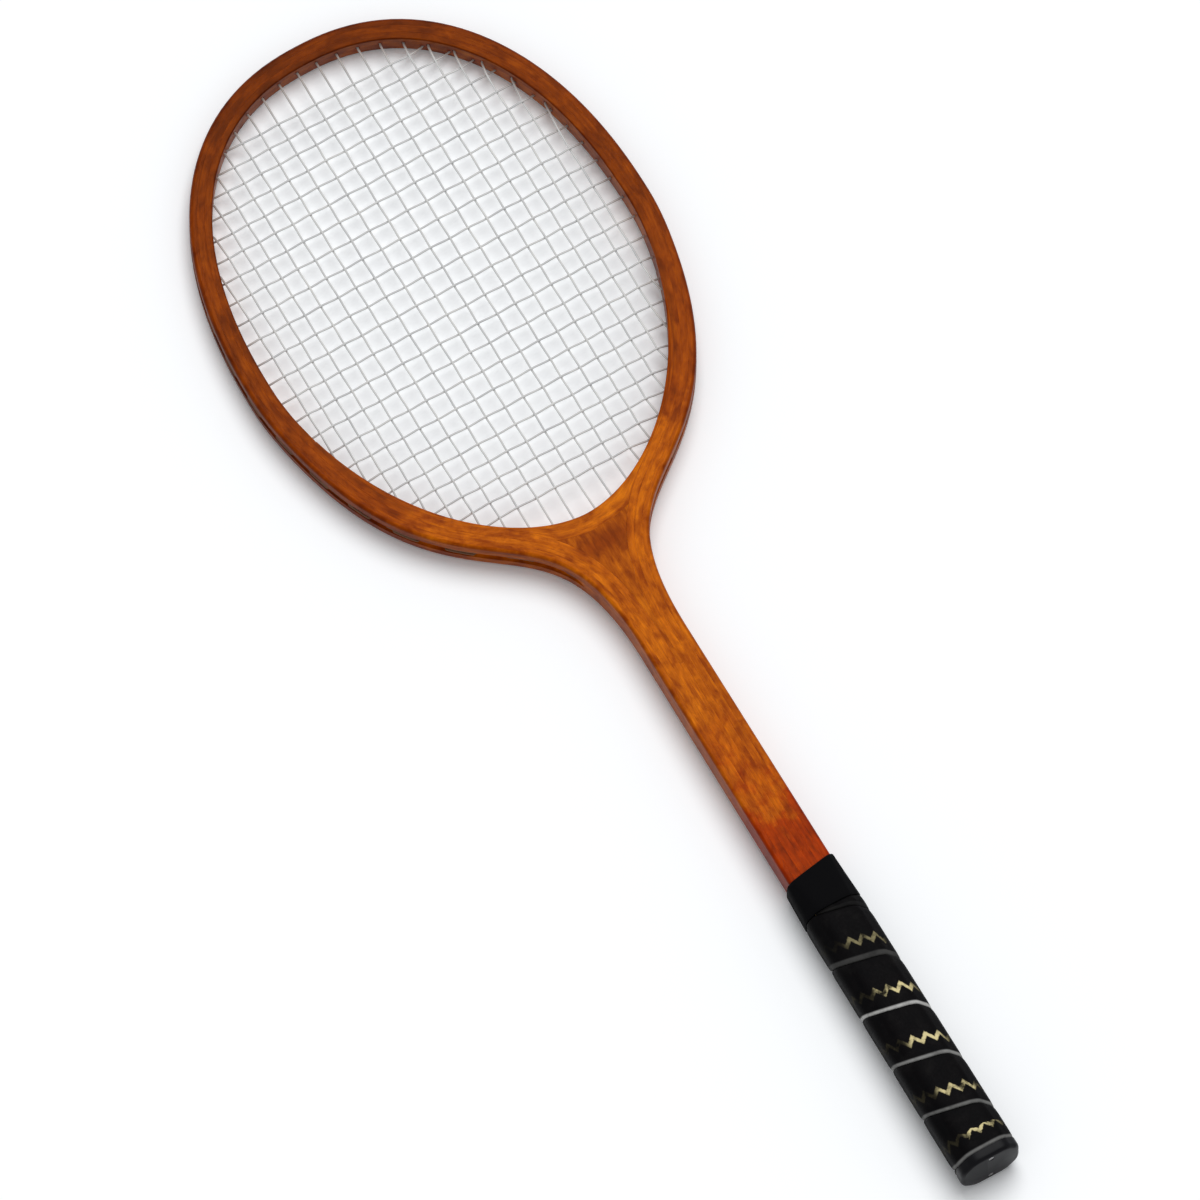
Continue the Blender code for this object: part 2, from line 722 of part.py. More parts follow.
def throat_wedge(material, group):
    return object_from(flat_mesh(wedge_outline(), FLAT_HALF), "throat_wedge", material, group)


def shaft_core(material, group):
    top = WEDGE_TIP - GLUE_GAP
    floor = FINE_PATH - GLUE_GAP * FINE_NORMALS
    order = np.argsort(floor[:, 1])
    half = CORE_HALF_WIDTH - GLUE_GAP
    tip = float(np.interp(top, floor[order, 1], floor[order, 0]))
    right = np.array([(half, WOOD_END), (half, COLLAR_TOP), (tip, top)])
    outline = np.vstack([right, right[::-1] * np.array([-1.0, 1.0])])
    return object_from(flat_mesh(outline, FLAT_HALF), "shaft_core", material, group)


# Cutters for the stringing
def string_hole_cutter(mains, crosses, material, group):
    bm = bmesh.new()
    for runs, z in ((mains, HOLE_STAGGER), (crosses, -HOLE_STAGGER)):
        for entry, _, leave in runs:
            for end in (entry, leave):
                inner = np.array([*end[0], z])
                outer = np.array([*hole_end(end), z])
                along = (outer - inner) / np.linalg.norm(outer - inner)
                add_prism(bm, inner, outer + along * 2 * GROOVE_DEPTH, HOLE_SIDE)
    return cutter_from(bm, "string_hole_cutter", material, group)


def groove_cutter(reach, material, group):
    """Bar that follows the outside of the bow from one shoulder to the other."""
    places = np.linspace(-reach, reach, GROOVE_POINTS)
    floor = [bow_point(place, RIM_WIDTH - GROOVE_DEPTH) for place in places]
    outside = [bow_point(place, RIM_WIDTH + GROOVE_DEPTH) for place in places]
    outline = np.array(floor + outside[::-1])
    return cutter_from(flat_mesh(outline, GROOVE_WIDTH / 2), "groove_cutter", material, group)


def nail_hole_cutter(material, group):
    bm = bmesh.new()
    for x, y, z in nail_places():
        head_end = y + NAIL_HEAD_HEIGHT + GLUE_GAP
        add_round(bm, NAIL_HEAD + 2 * GLUE_GAP, (x, y - NAIL_HEAD_HEIGHT, z), (x, head_end, z))
    heads = cutter_from(bm, "nail_head_cutter", material, group)
    bm = bmesh.new()
    for x, y, z in nail_places():
        add_round(bm, NAIL_SHANK + 2 * GLUE_GAP, (x, y, z), (x, y + NAIL_LENGTH + GLUE_GAP, z))
    return heads, cutter_from(bm, "nail_shank_cutter", material, group)


def tack_hole_cutters(material, group):
    x, y, z = tack_place()
    bm = bmesh.new()
    dent = z + TACK_HEAD_HEIGHT + GLUE_GAP
    add_round(bm, TACK_HEAD + 2 * GLUE_GAP, (x, y, z - TACK_HEAD_HEIGHT), (x, y, dent))
    head = cutter_from(bm, "tack_head_cutter", material, group)
    bm = bmesh.new()
    deep = -wood_section(y)[1] + TACK_BITE + GLUE_GAP
    add_round(bm, TACK_SHANK + 2 * GLUE_GAP, (x, y, z), (x, y, deep))
    return head, cutter_from(bm, "tack_shank_cutter", material, group)


# Handle, cap, strip and collar
def butt_cap(material, group):
    height = BUTT_CAP_LENGTH
    foot = shrunk(grip_section(0.0), BUTT_CAP_ROUND)
    cavity = STRIP_THICKNESS
    rings = [
        octagon(*foot, 0.0),
        octagon(*grip_section(BUTT_CAP_ROUND), BUTT_CAP_ROUND),
        octagon(*grip_section(height), height),
        octagon(*shrunk(grip_section(height), cavity), height),
        octagon(*shrunk(grip_section(BUTT_CAP_FLOOR), cavity), BUTT_CAP_FLOOR),
    ]
    return object_from(loft(rings, False), "butt_cap", material, group)


def grip_strip(material, group):
    columns = [strip_column(step) for step in strip_steps()]
    return object_from(loft(columns, False), "grip_strip", material, group)


def grip_collar(material, group):
    low, high = GRIP_TOP, COLLAR_TOP
    rings = [
        octagon(*collar_section(low), low),
        octagon(*collar_section(high), high),
        octagon(*shrunk(collar_section(high), COLLAR_THICKNESS), high),
        octagon(*shrunk(collar_section(low), STRIP_THICKNESS), low),
    ]
    return object_from(loft(rings, True), "grip_collar", material, group)


def pallets(material, group):
    made = []
    for name, ring, side in (
        ("front_pallet", face_pallet_ring, 1),
        ("back_pallet", face_pallet_ring, -1),
        ("right_pallet", side_pallet_ring, 1),
        ("left_pallet", side_pallet_ring, -1),
    ):
        rings = [ring(height, side) for height in PALLET_HEIGHTS]
        made.append(object_from(loft(rings, False), name, material, group))
    return made


def butt_nails(material, group):
    for name, place in zip(("back_butt_nail", "front_butt_nail"), nail_places()):
        pin = headed_pin(place, (0, 1, 0), NAIL_HEAD, NAIL_HEAD_HEIGHT, NAIL_SHANK, NAIL_LENGTH)
        object_from(pin, name, material, group)


def grip_tack(material, group):
    place = tack_place()
    length = -wood_section(place[1])[1] + TACK_BITE - place[2]
    bm = headed_pin(place, (0, 0, 1), TACK_HEAD, TACK_HEAD_HEIGHT, TACK_SHANK, length)
    return object_from(bm, "grip_end_tack", material, group)


def build():
    clear_scene()
    racket = new_collection("wooden_tennis_racket")
    cutters = new_collection("cutters")
    ash = new_material("varnished ash", (0.42, 0.13, 0.025), 0.32)
    ash_light = new_material("varnished light ash", (0.50, 0.17, 0.03), 0.32)
    walnut = new_material("walnut", (0.22, 0.065, 0.02), 0.35)
    limewood = new_material("limewood", (0.62, 0.45, 0.27), 0.6)
    nylon = new_material("grey nylon", (0.45, 0.45, 0.44), 0.4)
    leather = new_material("black leather", (0.012, 0.012, 0.013), 0.5)
    tape = new_material("black tape", (0.010, 0.010, 0.011), 0.7)
    plastic = new_material("black plastic", (0.011, 0.011, 0.012), 0.3)
    steel = new_material("steel", (0.55, 0.55, 0.56), 0.35, 1.0)

    mains, crosses = string_runs()
    inner = bow_ply("inner_bow_ply", 0, ash_light, racket)
    middle = bow_ply("middle_bow_ply", 1, ash, racket)
    outer = bow_ply("outer_bow_ply", 2, ash, racket)
    arch = throat_arch(ash_light, racket)
    wedge = throat_wedge(walnut, racket)
    shaft_core(ash, racket)
    front, back, _, _ = pallets(limewood, racket)
    cap = butt_cap(plastic, racket)
    strip = grip_strip(leather, racket)
    grip_collar(tape, racket)
    butt_nails(steel, racket)
    grip_tack(steel, racket)
    string_object("main_string", woven_path(mains, HOLE_STAGGER), nylon, racket)
    string_object("cross_string", woven_path(crosses, -HOLE_STAGGER), nylon, racket)

    holes = string_hole_cutter(mains, crosses, ash, cutters)
    last_hole = max(abs(end[1]) for runs in (mains, crosses) for run in runs for end in (run[0], run[2]))
    cut(outer, groove_cutter(last_hole + GROOVE_END, ash, cutters))
    for piece in (outer, middle, inner, arch, wedge):
        cut(piece, holes)
    nail_heads, nail_shanks = nail_hole_cutter(steel, cutters)
    cut(cap, nail_heads)
    cut(cap, nail_shanks)
    cut(front, nail_shanks)
    cut(back, nail_shanks)
    tack_head, tack_shank = tack_hole_cutters(steel, cutters)
    cut(strip, tack_head)
    cut(strip, tack_shank)
    cut(back, tack_shank)
    print_strip_gap()


build()
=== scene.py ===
import math

import bmesh
import bpy
import numpy as np
from mathutils import Matrix, Vector
from mathutils.kdtree import KDTree


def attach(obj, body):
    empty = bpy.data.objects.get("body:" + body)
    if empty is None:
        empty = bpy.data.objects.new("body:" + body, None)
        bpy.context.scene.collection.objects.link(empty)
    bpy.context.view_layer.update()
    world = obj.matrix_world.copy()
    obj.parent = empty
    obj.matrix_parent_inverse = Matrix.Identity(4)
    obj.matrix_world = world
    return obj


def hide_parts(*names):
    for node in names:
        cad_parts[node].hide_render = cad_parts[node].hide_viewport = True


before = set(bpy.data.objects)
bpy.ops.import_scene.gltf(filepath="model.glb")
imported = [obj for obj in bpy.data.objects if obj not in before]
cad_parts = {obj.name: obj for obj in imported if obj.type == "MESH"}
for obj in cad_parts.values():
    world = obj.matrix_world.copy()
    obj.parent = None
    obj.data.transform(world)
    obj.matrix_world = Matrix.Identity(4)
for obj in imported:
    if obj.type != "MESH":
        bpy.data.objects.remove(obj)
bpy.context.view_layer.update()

# Camera: a very long lens, 68 degrees above the string bed. The racket lies across the picture
# with its head up to the left, 60 degrees off level.
PIXELS_PER_METRE = 2028
PICTURE_PIXELS = 1200
LIE = math.radians(59.98)
LOOK_DOWN = math.radians(67.97)
LOOK_AT = Vector((-0.01614, 0.35607, 0.0))
CAMERA_DISTANCE = 26.0

picture_right = Vector((math.sin(LIE), -math.cos(LIE), 0.0))
picture_away = Vector((math.cos(LIE), math.sin(LIE), 0.0))
to_camera = Vector((0.0, 0.0, math.sin(LOOK_DOWN))) - math.cos(LOOK_DOWN) * picture_away
picture_up = to_camera.cross(picture_right)
camera_data = bpy.data.cameras.new("camera")
camera_data.sensor_width = 36.0
camera_data.lens = 36.0 * CAMERA_DISTANCE * PIXELS_PER_METRE / PICTURE_PIXELS
camera = bpy.data.objects.new("camera", camera_data)
turn = Matrix((picture_right, picture_up, to_camera)).transposed().to_4x4()
camera.matrix_world = Matrix.Translation(LOOK_AT + CAMERA_DISTANCE * to_camera) @ turn
bpy.context.scene.collection.objects.link(camera)
bpy.context.scene.camera = camera
bpy.context.scene.view_settings.view_transform = "Standard"

# Stage: a white floor that the racket rests on with its butt cap and the outside of its crown,
# a soft lamp from beyond the top of the picture, and a white surround.
BUTT_REST = (0.003, -0.0146)
CROWN_REST = (0.6836, -0.00625)
KEY_STRENGTH = 1.72
KEY_SPREAD = 42
SURROUND = 0.46
FLOOR_SIZE = 6.0
FLOOR_CLEARANCE = 0.0002
FLOOR_WHITE = (0.94, 0.94, 0.94, 1.0)
FLOOR_SEEN = (1.055, 1.075, 1.095, 1.0)


def paint(red, green, blue):
    """A colour given as it looks on a screen, in 0 to 255."""
    values = []
    for part in (red, green, blue):
        share = part / 255
        values.append(share / 12.92 if share < 0.04045 else ((share + 0.055) / 1.055) ** 2.4)
    return (*values, 1.0)


def add_node(tree, kind, **values):
    """A shader node with some of its inputs and settings given."""
    node = tree.nodes.new(kind)
    for key, value in values.items():
        if key in node.inputs:
            node.inputs[key].default_value = value
        else:
            setattr(node, key, value)
    return node


def new_material(name, specular=0.5):
    """A new material, with its node tree and its main shader."""
    material = bpy.data.materials.new(name)
    material.use_nodes = True
    shader = material.node_tree.nodes["Principled BSDF"]
    shader.inputs["Specular IOR Level"].default_value = specular
    return material, material.node_tree, shader


def seen_white(tree):
    """A value of 1 for what the camera sees directly, in a reflection or through glass."""
    kind = add_node(tree, "ShaderNodeLightPath")
    seen = kind.outputs["Is Camera Ray"]
    for ray in ("Is Glossy Ray", "Is Transmission Ray"):
        either = add_node(tree, "ShaderNodeMath", operation="MAXIMUM")
        tree.links.new(seen, either.inputs[0])
        tree.links.new(kind.outputs[ray], either.inputs[1])
        seen = either.outputs[0]
    return seen


floor_paint, tree, _ = new_material("white floor")
tree.nodes.clear()
matte = add_node(tree, "ShaderNodeBsdfDiffuse")
whiteness = add_node(tree, "ShaderNodeMix", data_type="RGBA")
whiteness.inputs[6].default_value = FLOOR_WHITE
whiteness.inputs[7].default_value = FLOOR_SEEN
result = add_node(tree, "ShaderNodeOutputMaterial")
tree.links.new(seen_white(tree), whiteness.inputs[0])
tree.links.new(whiteness.outputs[2], matte.inputs["Color"])
tree.links.new(matte.outputs[0], result.inputs["Surface"])

slope = (CROWN_REST[1] - BUTT_REST[1]) / (CROWN_REST[0] - BUTT_REST[0])
bm = bmesh.new()
bmesh.ops.create_grid(bm, x_segments=1, y_segments=1, size=FLOOR_SIZE)
for vert in bm.verts:
    vert.co.z = BUTT_REST[1] - FLOOR_CLEARANCE + slope * (vert.co.y - BUTT_REST[0])
floor_mesh = bpy.data.meshes.new("floor")
bm.to_mesh(floor_mesh)
bm.free()
floor_mesh.materials.append(floor_paint)
floor = bpy.data.objects.new("floor", floor_mesh)
bpy.context.scene.collection.objects.link(floor)

key_data = bpy.data.lights.new("key", "SUN")
key_data.energy = KEY_STRENGTH
key_data.angle = math.radians(KEY_SPREAD)
key = bpy.data.objects.new("key", key_data)
from_key = 0.11 * picture_right + 0.42 * picture_away + Vector((0.0, 0.0, 0.95))
key.rotation_euler = from_key.to_track_quat("Z", "Y").to_euler()
bpy.context.scene.collection.objects.link(key)

world = bpy.data.worlds.new("surround")
world.use_nodes = True
tree = world.node_tree
tree.nodes.clear()
dim = add_node(tree, "ShaderNodeBackground", Color=(1.0, 1.0, 1.0, 1.0), Strength=SURROUND)
white = add_node(tree, "ShaderNodeBackground", Color=(1.0, 1.0, 1.0, 1.0), Strength=1.0)
choice = add_node(tree, "ShaderNodeMixShader")
result = add_node(tree, "ShaderNodeOutputWorld")
tree.links.new(seen_white(tree), choice.inputs["Fac"])
tree.links.new(dim.outputs[0], choice.inputs[1])
tree.links.new(white.outputs[0], choice.inputs[2])
tree.links.new(choice.outputs[0], result.inputs["Surface"])
bpy.context.scene.world = world

# Bow: three plies of ash, steamed and bent round the head and down both sides of the shaft, glued
# to one rim of 11 mm. The outside is rounded and has a groove for the strings' loops.
LENGTH = 0.6858
RIM = 0.0114
PLY_COUNT = 3
GLUE_LINE = 0.00002
HEAD_HALF_WIDTH = 0.1017
CROWN_DEPTH = 0.1428
THROAT_DEPTH = 0.1352
CROWN_ROUNDNESS = 2.26
THROAT_ROUNDNESS = 1.82
PARTING_DROP = 0.021632
SHOULDER_LENGTH = 0.0744952
SHOULDER_UPPER_TENSION = 0.617
SHOULDER_LOWER_TENSION = 0.534
SHAFT_HALF_WIDTH = 0.0129
SHAFT_HALF_WAIST = 0.0124
SHAFT_HALF_THICKNESS = 0.0090
CROWN_HALF_THICKNESS = 0.00625
COLLAR_TOP = 0.1778
WOOD_END = 0.0029
OUTER_ROUND = 0.0019
INNER_ROUND = 0.0009
PLY_EDGE = 0.00004
GROOVE_DEPTH = 0.0017
GROOVE_HALF_WIDTH = 0.0025
GROOVE_REACH = 0.3912
GROOVE_FADE = 0.009
LEG_SQUARE = 0.95
LEG_SQUARE_FADE = 0.006
PLY_STEP = 0.0045

WIDEST = LENGTH - RIM - CROWN_DEPTH
OPENING_BOTTOM = WIDEST - THROAT_DEPTH
SHAFT_TOP = OPENING_BOTTOM - SHOULDER_LENGTH
CORE_HALF_WIDTH = SHAFT_HALF_WIDTH - RIM
CORE_HALF_WAIST = SHAFT_HALF_WAIST - RIM
PLY = RIM / PLY_COUNT


def opening_at(angle):
    """Point of the opening and its outward normal; the angle runs from 0 at the crown to pi."""
    crown = angle <= math.pi / 2
    power = CROWN_ROUNDNESS if crown else THROAT_ROUNDNESS
    depth = CROWN_DEPTH if crown else THROAT_DEPTH
    side = 1.0 if crown else -1.0
    across = max(math.sin(angle), 0.0)
    along = abs(math.cos(angle))
    x = HEAD_HALF_WIDTH * across ** (2 / power)
    y = WIDEST + side * depth * along ** (2 / power)
    slope = np.array([across ** (2 - 2 / power) / HEAD_HALF_WIDTH, side * along ** (2 - 2 / power) / depth])
    return np.array([x, y]), slope / np.linalg.norm(slope)


def angle_at_height(height):
    share = (WIDEST - height) / THROAT_DEPTH
    return math.pi - math.acos(min(share ** (THROAT_ROUNDNESS / 2), 1.0))


def bow_inner_edge():
    """Right half of the bow's inner edge from the crown to the butt, and where the head's part ends."""
    last = angle_at_height(WIDEST - PARTING_DROP)
    head = [opening_at(a)[0] for a in np.linspace(0.0, last, 601)]
    parting, normal = opening_at(last)
    down = np.array([normal[1], -normal[0]])
    shaft = np.array([CORE_HALF_WAIST, SHAFT_TOP])
    chord = np.linalg.norm(parting - shaft)
    upper = parting + down * SHOULDER_UPPER_TENSION * chord
    lower = shaft + np.array([0.0, SHOULDER_LOWER_TENSION * chord])
    t = np.linspace(0.0, 1.0, 401)[1:, None]
    u = 1 - t
    shoulder = u**3 * parting + 3 * u * u * t * upper + 3 * u * t * t * lower + t**3 * shaft
    handle = np.array([[CORE_HALF_WIDTH, COLLAR_TOP], [CORE_HALF_WIDTH, WOOD_END]])
    return np.vstack([np.array(head), shoulder, handle]), len(head) - 1


edge, parting_number = bow_inner_edge()
runs = np.diff(edge, axis=0)
runs /= np.linalg.norm(runs, axis=1)[:, None]
tangents = np.vstack([[[1.0, 0.0]], runs]) + np.vstack([runs, runs[-1:]])
tangents[0] = (1.0, 0.0)
tangents /= np.linalg.norm(tangents, axis=1)[:, None]
edge_normals = np.stack([-tangents[:, 1], tangents[:, 0]], axis=1)
edge_lengths = np.concatenate([[0.0], np.cumsum(np.linalg.norm(np.diff(edge, axis=0), axis=1))])
PARTING_ALONG = edge_lengths[parting_number]


def bow_point(along, distance):
    """Point at a length along the bow's inner edge and a distance outside it; left is negative."""
    place = []
    for axis in (0, 1):
        start = np.interp(abs(along), edge_lengths, edge[:, axis])
        normal = np.interp(abs(along), edge_lengths, edge_normals[:, axis])
        place.append(start + distance * normal)
    return math.copysign(place[0], along), place[1]


def part_way(value, start, end):
    """How far a value has gone from start to end, kept from 0 to 1."""
    return min(max((value - start) / (end - start), 0.0), 1.0)


def half_thickness(height):
    thinned = part_way(height, OPENING_BOTTOM, LENGTH)
    return SHAFT_HALF_THICKNESS + thinned * (CROWN_HALF_THICKNESS - SHAFT_HALF_THICKNESS)


def moved_in(height, z):
    """A height above the string bed on the full thickness, moved in to the thickness there."""
    return math.copysign(abs(z) - (SHAFT_HALF_THICKNESS - half_thickness(height)), z)


def strip_section(near, far, half, near_round, far_round, grooved=False):
    """Section of a strip as a ring of (across, height) points, with its four edges rounded."""
    ring = []
    corners = (
        (far, half, far_round, 0),
        (near, half, near_round, 90),
        (near, -half, near_round, 180),
        (far, -half, far_round, 270),
    )
    for x, z, radius, first in corners:
        steps = 6 if radius > 0.0005 else 1
        middle_x = x - math.copysign(radius, x - (near + far) / 2)
        middle_z = z - math.copysign(radius, z)
        for k in range(steps + 1):
            angle = math.radians(first + 90 * k / steps)
            ring.append((middle_x + radius * math.cos(angle), middle_z + radius * math.sin(angle)))
    if grooved:
        floor_x = far - GROOVE_DEPTH
        ring += [(far, -GROOVE_HALF_WIDTH), (floor_x, -GROOVE_HALF_WIDTH + 0.0004)]
        ring += [(floor_x, GROOVE_HALF_WIDTH - 0.0004), (far, GROOVE_HALF_WIDTH)]
    return ring


def lay_grain(strip):
    """Lays the grain out along a strip before it is bent: u along it, v across and down its edge."""
    grain = strip.loops.layers.uv.new("grain")
    for face in strip.faces:
        for loop in face.loops:
            loop[grain].uv = (loop.vert.co.y, loop.vert.co.x + loop.vert.co.z)


def straight_strip(section, start, end, step):
    """A straight strip with this section, with its grain laid out before it is bent."""
    strip = bmesh.new()
    ring = [strip.verts.new((x, start, z)) for x, z in section]
    lines = [strip.edges.new(pair) for pair in zip(ring, ring[1:] + ring[:1])]
    steps = max(1, round((end - start) / step))
    bmesh.ops.spin(
        strip,
        geom=ring + lines,
        cent=(0.0, 0.0, 0.0),
        axis=(0.0, 0.0, 1.0),
        dvec=(0.0, (end - start) / steps, 0.0),
        angle=0.0,
        steps=steps,
        use_merge=False,
    )
    bmesh.ops.holes_fill(strip, edges=[e for e in strip.edges if e.is_boundary], sides=0)
    lay_grain(strip)
    strip.verts.index_update()
    return strip


def new_piece(strip, name, material, slot, *nodes):
    """Makes a finished mesh a piece of the racket that stands for some nodes."""
    bmesh.ops.recalc_face_normals(strip, faces=strip.faces)
    mesh = bpy.data.meshes.new(name)
    strip.to_mesh(mesh)
    strip.free()
    mesh.materials.append(material)
    mesh.shade_smooth()
    mesh.set_sharp_from_angle(angle=math.radians(42))
    piece = bpy.data.objects.new(name, mesh)
    bpy.context.scene.collection.objects.link(piece)
    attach(piece, "root")
    if nodes:
        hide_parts(*nodes)
    return piece


def ramp(tree, stops):
    """A colour ramp with these (place, colour) stops."""
    node = tree.nodes.new("ShaderNodeValToRGB")
    bar = node.color_ramp.elements
    bar[0].position, bar[0].color = stops[0]
    bar[1].position, bar[1].color = stops[-1]
    for place, colour in stops[1:-1]:
        bar.new(place).color = colour
    return node


def object_place(tree):
    """The place of a point in metres, for a pattern that goes through the whole piece."""
    return add_node(tree, "ShaderNodeTexCoord").outputs["Object"]


def noise_on(tree, place, **values):
    """A noise pattern laid out by a place."""
    noise = add_node(tree, "ShaderNodeTexNoise", **values)
    tree.links.new(place, noise.inputs["Vector"])
    return noise.outputs["Fac"]


def tone_by(tree, shader, pattern, stops):
    """Lets a pattern pick the colour from a ramp."""
    tone = ramp(tree, stops)
    tree.links.new(pattern, tone.inputs["Fac"])
    tree.links.new(tone.outputs["Color"], shader.inputs["Base Color"])


def roughen(tree, shader, pattern, low, high):
    """Lets a pattern vary the roughness from low to high."""
    gloss = add_node(tree, "ShaderNodeMapRange")
    gloss.inputs["To Min"].default_value = low
    gloss.inputs["To Max"].default_value = high
    tree.links.new(pattern, gloss.inputs["Value"])
    tree.links.new(gloss.outputs["Result"], shader.inputs["Roughness"])


def raise_by(tree, shader, pattern, strength, distance):
    """Lets a pattern raise the surface in a bump."""
    bump = add_node(tree, "ShaderNodeBump", Strength=strength, Distance=distance)
    tree.links.new(pattern, bump.inputs["Height"])
    tree.links.new(bump.outputs["Normal"], shader.inputs["Normal"])


# Colour of the stain by height above the butt, in metres.
STAIN = (
    (0.170, (142, 34, 0)),
    (0.214, (150, 45, 0)),
    (0.236, (171, 78, 6)),
    (0.270, (178, 88, 8)),
    (0.360, (178, 86, 8)),
    (0.405, (178, 86, 8)),
    (0.426, (150, 64, 6)),
    (0.440, (141, 57, 4)),
    (0.500, (134, 54, 4)),
    (0.560, (113, 42, 2)),
    (0.610, (132, 53, 4)),
    (0.650, (113, 42, 2)),
    (0.6858, (101, 34, 1)),
)
# A darker patch in the colour, across the throat.
THROAT_DARK_HEIGHT = 0.3790
THROAT_DARK_HALF_DEPTH = 0.0085
THROAT_DARK_HALF_WIDTH = 0.026


def times(tree, colour, other, strength=1.0):
    """The colour multiplied by another one."""
    blend = add_node(tree, "ShaderNodeMix", data_type="RGBA", blend_type="MULTIPLY")
    if isinstance(strength, float):
        blend.inputs[0].default_value = strength
    else:
        tree.links.new(strength, blend.inputs[0])
    tree.links.new(colour, blend.inputs[6])
    if isinstance(other, tuple):
        blend.inputs[7].default_value = other
    else:
        tree.links.new(other, blend.inputs[7])
    return blend.outputs[2]


def varnished_wood(name, tone=1.0, redden=0.0, seed=0.0):
    """Orange-brown varnished wood: redder at the crown and near the grip, lighter at the throat."""
    material, tree, shader = new_material(name, 0.13)
    shader.inputs["Specular Tint"].default_value = (1.0, 0.42, 0.08, 1.0)
    shader.inputs["Coat Weight"].default_value = 0.02
    shader.inputs["Coat Roughness"].default_value = 0.12
    link = tree.links.new

    place = object_place(tree)
    along = add_node(tree, "ShaderNodeSeparateXYZ")
    link(place, along.inputs[0])
    share = add_node(tree, "ShaderNodeMapRange")
    share.inputs["From Min"].default_value = STAIN[0][0]
    share.inputs["From Max"].default_value = STAIN[-1][0]
    link(along.outputs["Y"], share.inputs["Value"])
    blotches = noise_on(tree, place, Scale=55.0, Detail=5.0, Roughness=0.65)
    wander = add_node(tree, "ShaderNodeMath", operation="MULTIPLY_ADD")
    wander.inputs[1].default_value = 0.30
    link(blotches, wander.inputs[0])
    link(share.outputs["Result"], wander.inputs[2])
    shifted = add_node(tree, "ShaderNodeMath", operation="SUBTRACT")
    shifted.inputs[1].default_value = 0.15
    link(wander.outputs[0], shifted.inputs[0])
    reach = STAIN[-1][0] - STAIN[0][0]
    stain = ramp(tree, [((height - STAIN[0][0]) / reach, paint(*rgb)) for height, rgb in STAIN])
    link(shifted.outputs[0], stain.inputs["Fac"])

    source = add_node(tree, "ShaderNodeUVMap", uv_map="grain").outputs[0]

    def fibres(length, width, detail, rough):
        laid = add_node(tree, "ShaderNodeMapping")
        laid.inputs["Location"].default_value = (seed, seed * 0.37, seed * 1.3)
        laid.inputs["Scale"].default_value = (1 / length, 1 / width, 1.0)
        link(source, laid.inputs["Vector"])
        return noise_on(tree, laid.outputs[0], Scale=1.0, Detail=detail, Roughness=rough, Distortion=0.4)

    figure = fibres(0.011, 0.0050, 4.0, 0.6)
    rings = fibres(0.040, 0.0026, 4.0, 0.6)
    streaks = fibres(0.012, 0.0009, 3.0, 0.65)
    pores = fibres(0.0045, 0.00026, 2.0, 0.5)
    plain = (1.0, 1.0, 1.0, 1.0)
    layers = (
        (figure, ((0.34, (0.58, 0.40, 0.30, 1)), (0.50, plain), (0.64, (1.34, 1.52, 1.20, 1)))),
        (rings, ((0.30, (0.74, 0.62, 0.50, 1)), (0.50, plain), (0.70, (1.24, 1.40, 1.2, 1)))),
        (streaks, ((0.32, (0.82, 0.74, 0.62, 1)), (0.53, plain), (0.75, (1.12, 1.20, 1.10, 1)))),
        (pores, ((0.28, (0.60, 0.48, 0.36, 1)), (0.40, plain), (1.0, plain))),
    )
    colour = stain.outputs["Color"]
    for pattern, stops in layers:
        layer = ramp(tree, stops)
        link(pattern, layer.inputs["Fac"])
        colour = times(tree, colour, layer.outputs["Color"], 0.9)
    across_throat = add_node(tree, "ShaderNodeMapping")
    across_throat.inputs["Location"].default_value = (0.0, -THROAT_DARK_HEIGHT / THROAT_DARK_HALF_DEPTH, 0.0)
    across_throat.inputs["Scale"].default_value = (1 / THROAT_DARK_HALF_WIDTH, 1 / THROAT_DARK_HALF_DEPTH, 0.0)
    link(place, across_throat.inputs["Vector"])
    away = add_node(tree, "ShaderNodeVectorMath", operation="LENGTH")
    link(across_throat.outputs[0], away.inputs[0])
    throat_dark = add_node(tree, "ShaderNodeMapRange", interpolation_type="SMOOTHSTEP")
    throat_dark.inputs["From Min"].default_value = 1.0
    throat_dark.inputs["From Max"].default_value = 0.2
    link(away.outputs["Value"], throat_dark.inputs["Value"])
    colour = times(tree, colour, (0.60, 0.42, 0.34, 1.0), throat_dark.outputs["Result"])
    # The shade attribute darkens or lightens the colour: stain, painted shade and painted light.
    shade = add_node(tree, "ShaderNodeAttribute", attribute_name="shade")
    colour = times(tree, colour, shade.outputs["Color"])
    colour = times(tree, colour, (tone, tone * (1 - redden), tone * (1 - 1.5 * redden), 1.0))
    link(colour, shader.inputs["Base Color"])

    roughen(tree, shader, streaks, 0.30, 0.50)
    raise_by(tree, shader, pores, 0.15, 0.0002)
    return material


def give_shade(strip, shade_at):
    """Paints a factor on the colour at each point, from 0 for black to 1 and above: stain, painted shade
    and painted light.
    """
    layer = strip.verts.layers.float_color.new("shade")
    for vert in strip.verts:
        red, green, blue = shade_at(vert)
        vert[layer] = (red, green, blue, 1.0)


def bow_shade(across, height, z):
    """Painted shade, partly stain, on the rounded outer edge and on the inner edge of the head, and painted
    light on the head's inner wall.
    """
    share = across / RIM
    head = part_way(height, 0.44, 0.50)
    # Painted light: the inner wall of the head is painted lighter, most of all in blue, as if lit.
    if head > 0 and across < 0.0002 and abs(z) < half_thickness(height) - 0.0008:
        return 1 + 0.35 * head, 1 + 0.9 * head, 1 + 3.0 * head
    # Painted shade, partly stain, towards the rounded outer edge and the inner edge of the head.
    outer = part_way(share, 0.84, 1.0)
    inner = part_way(share, 0.30, 0.0) * head
    crown = part_way(height, 0.62, 0.67)
    dark = 1 - (0.34 - 0.12 * crown) * outer - (0.16 + 0.10 * crown) * inner
    # Painted shade on the rounded inner edge of the head.
    if head > 0 and across < 0.0006:
        dark *= 0.75
    return dark, dark ** 1.15, dark ** 1.2


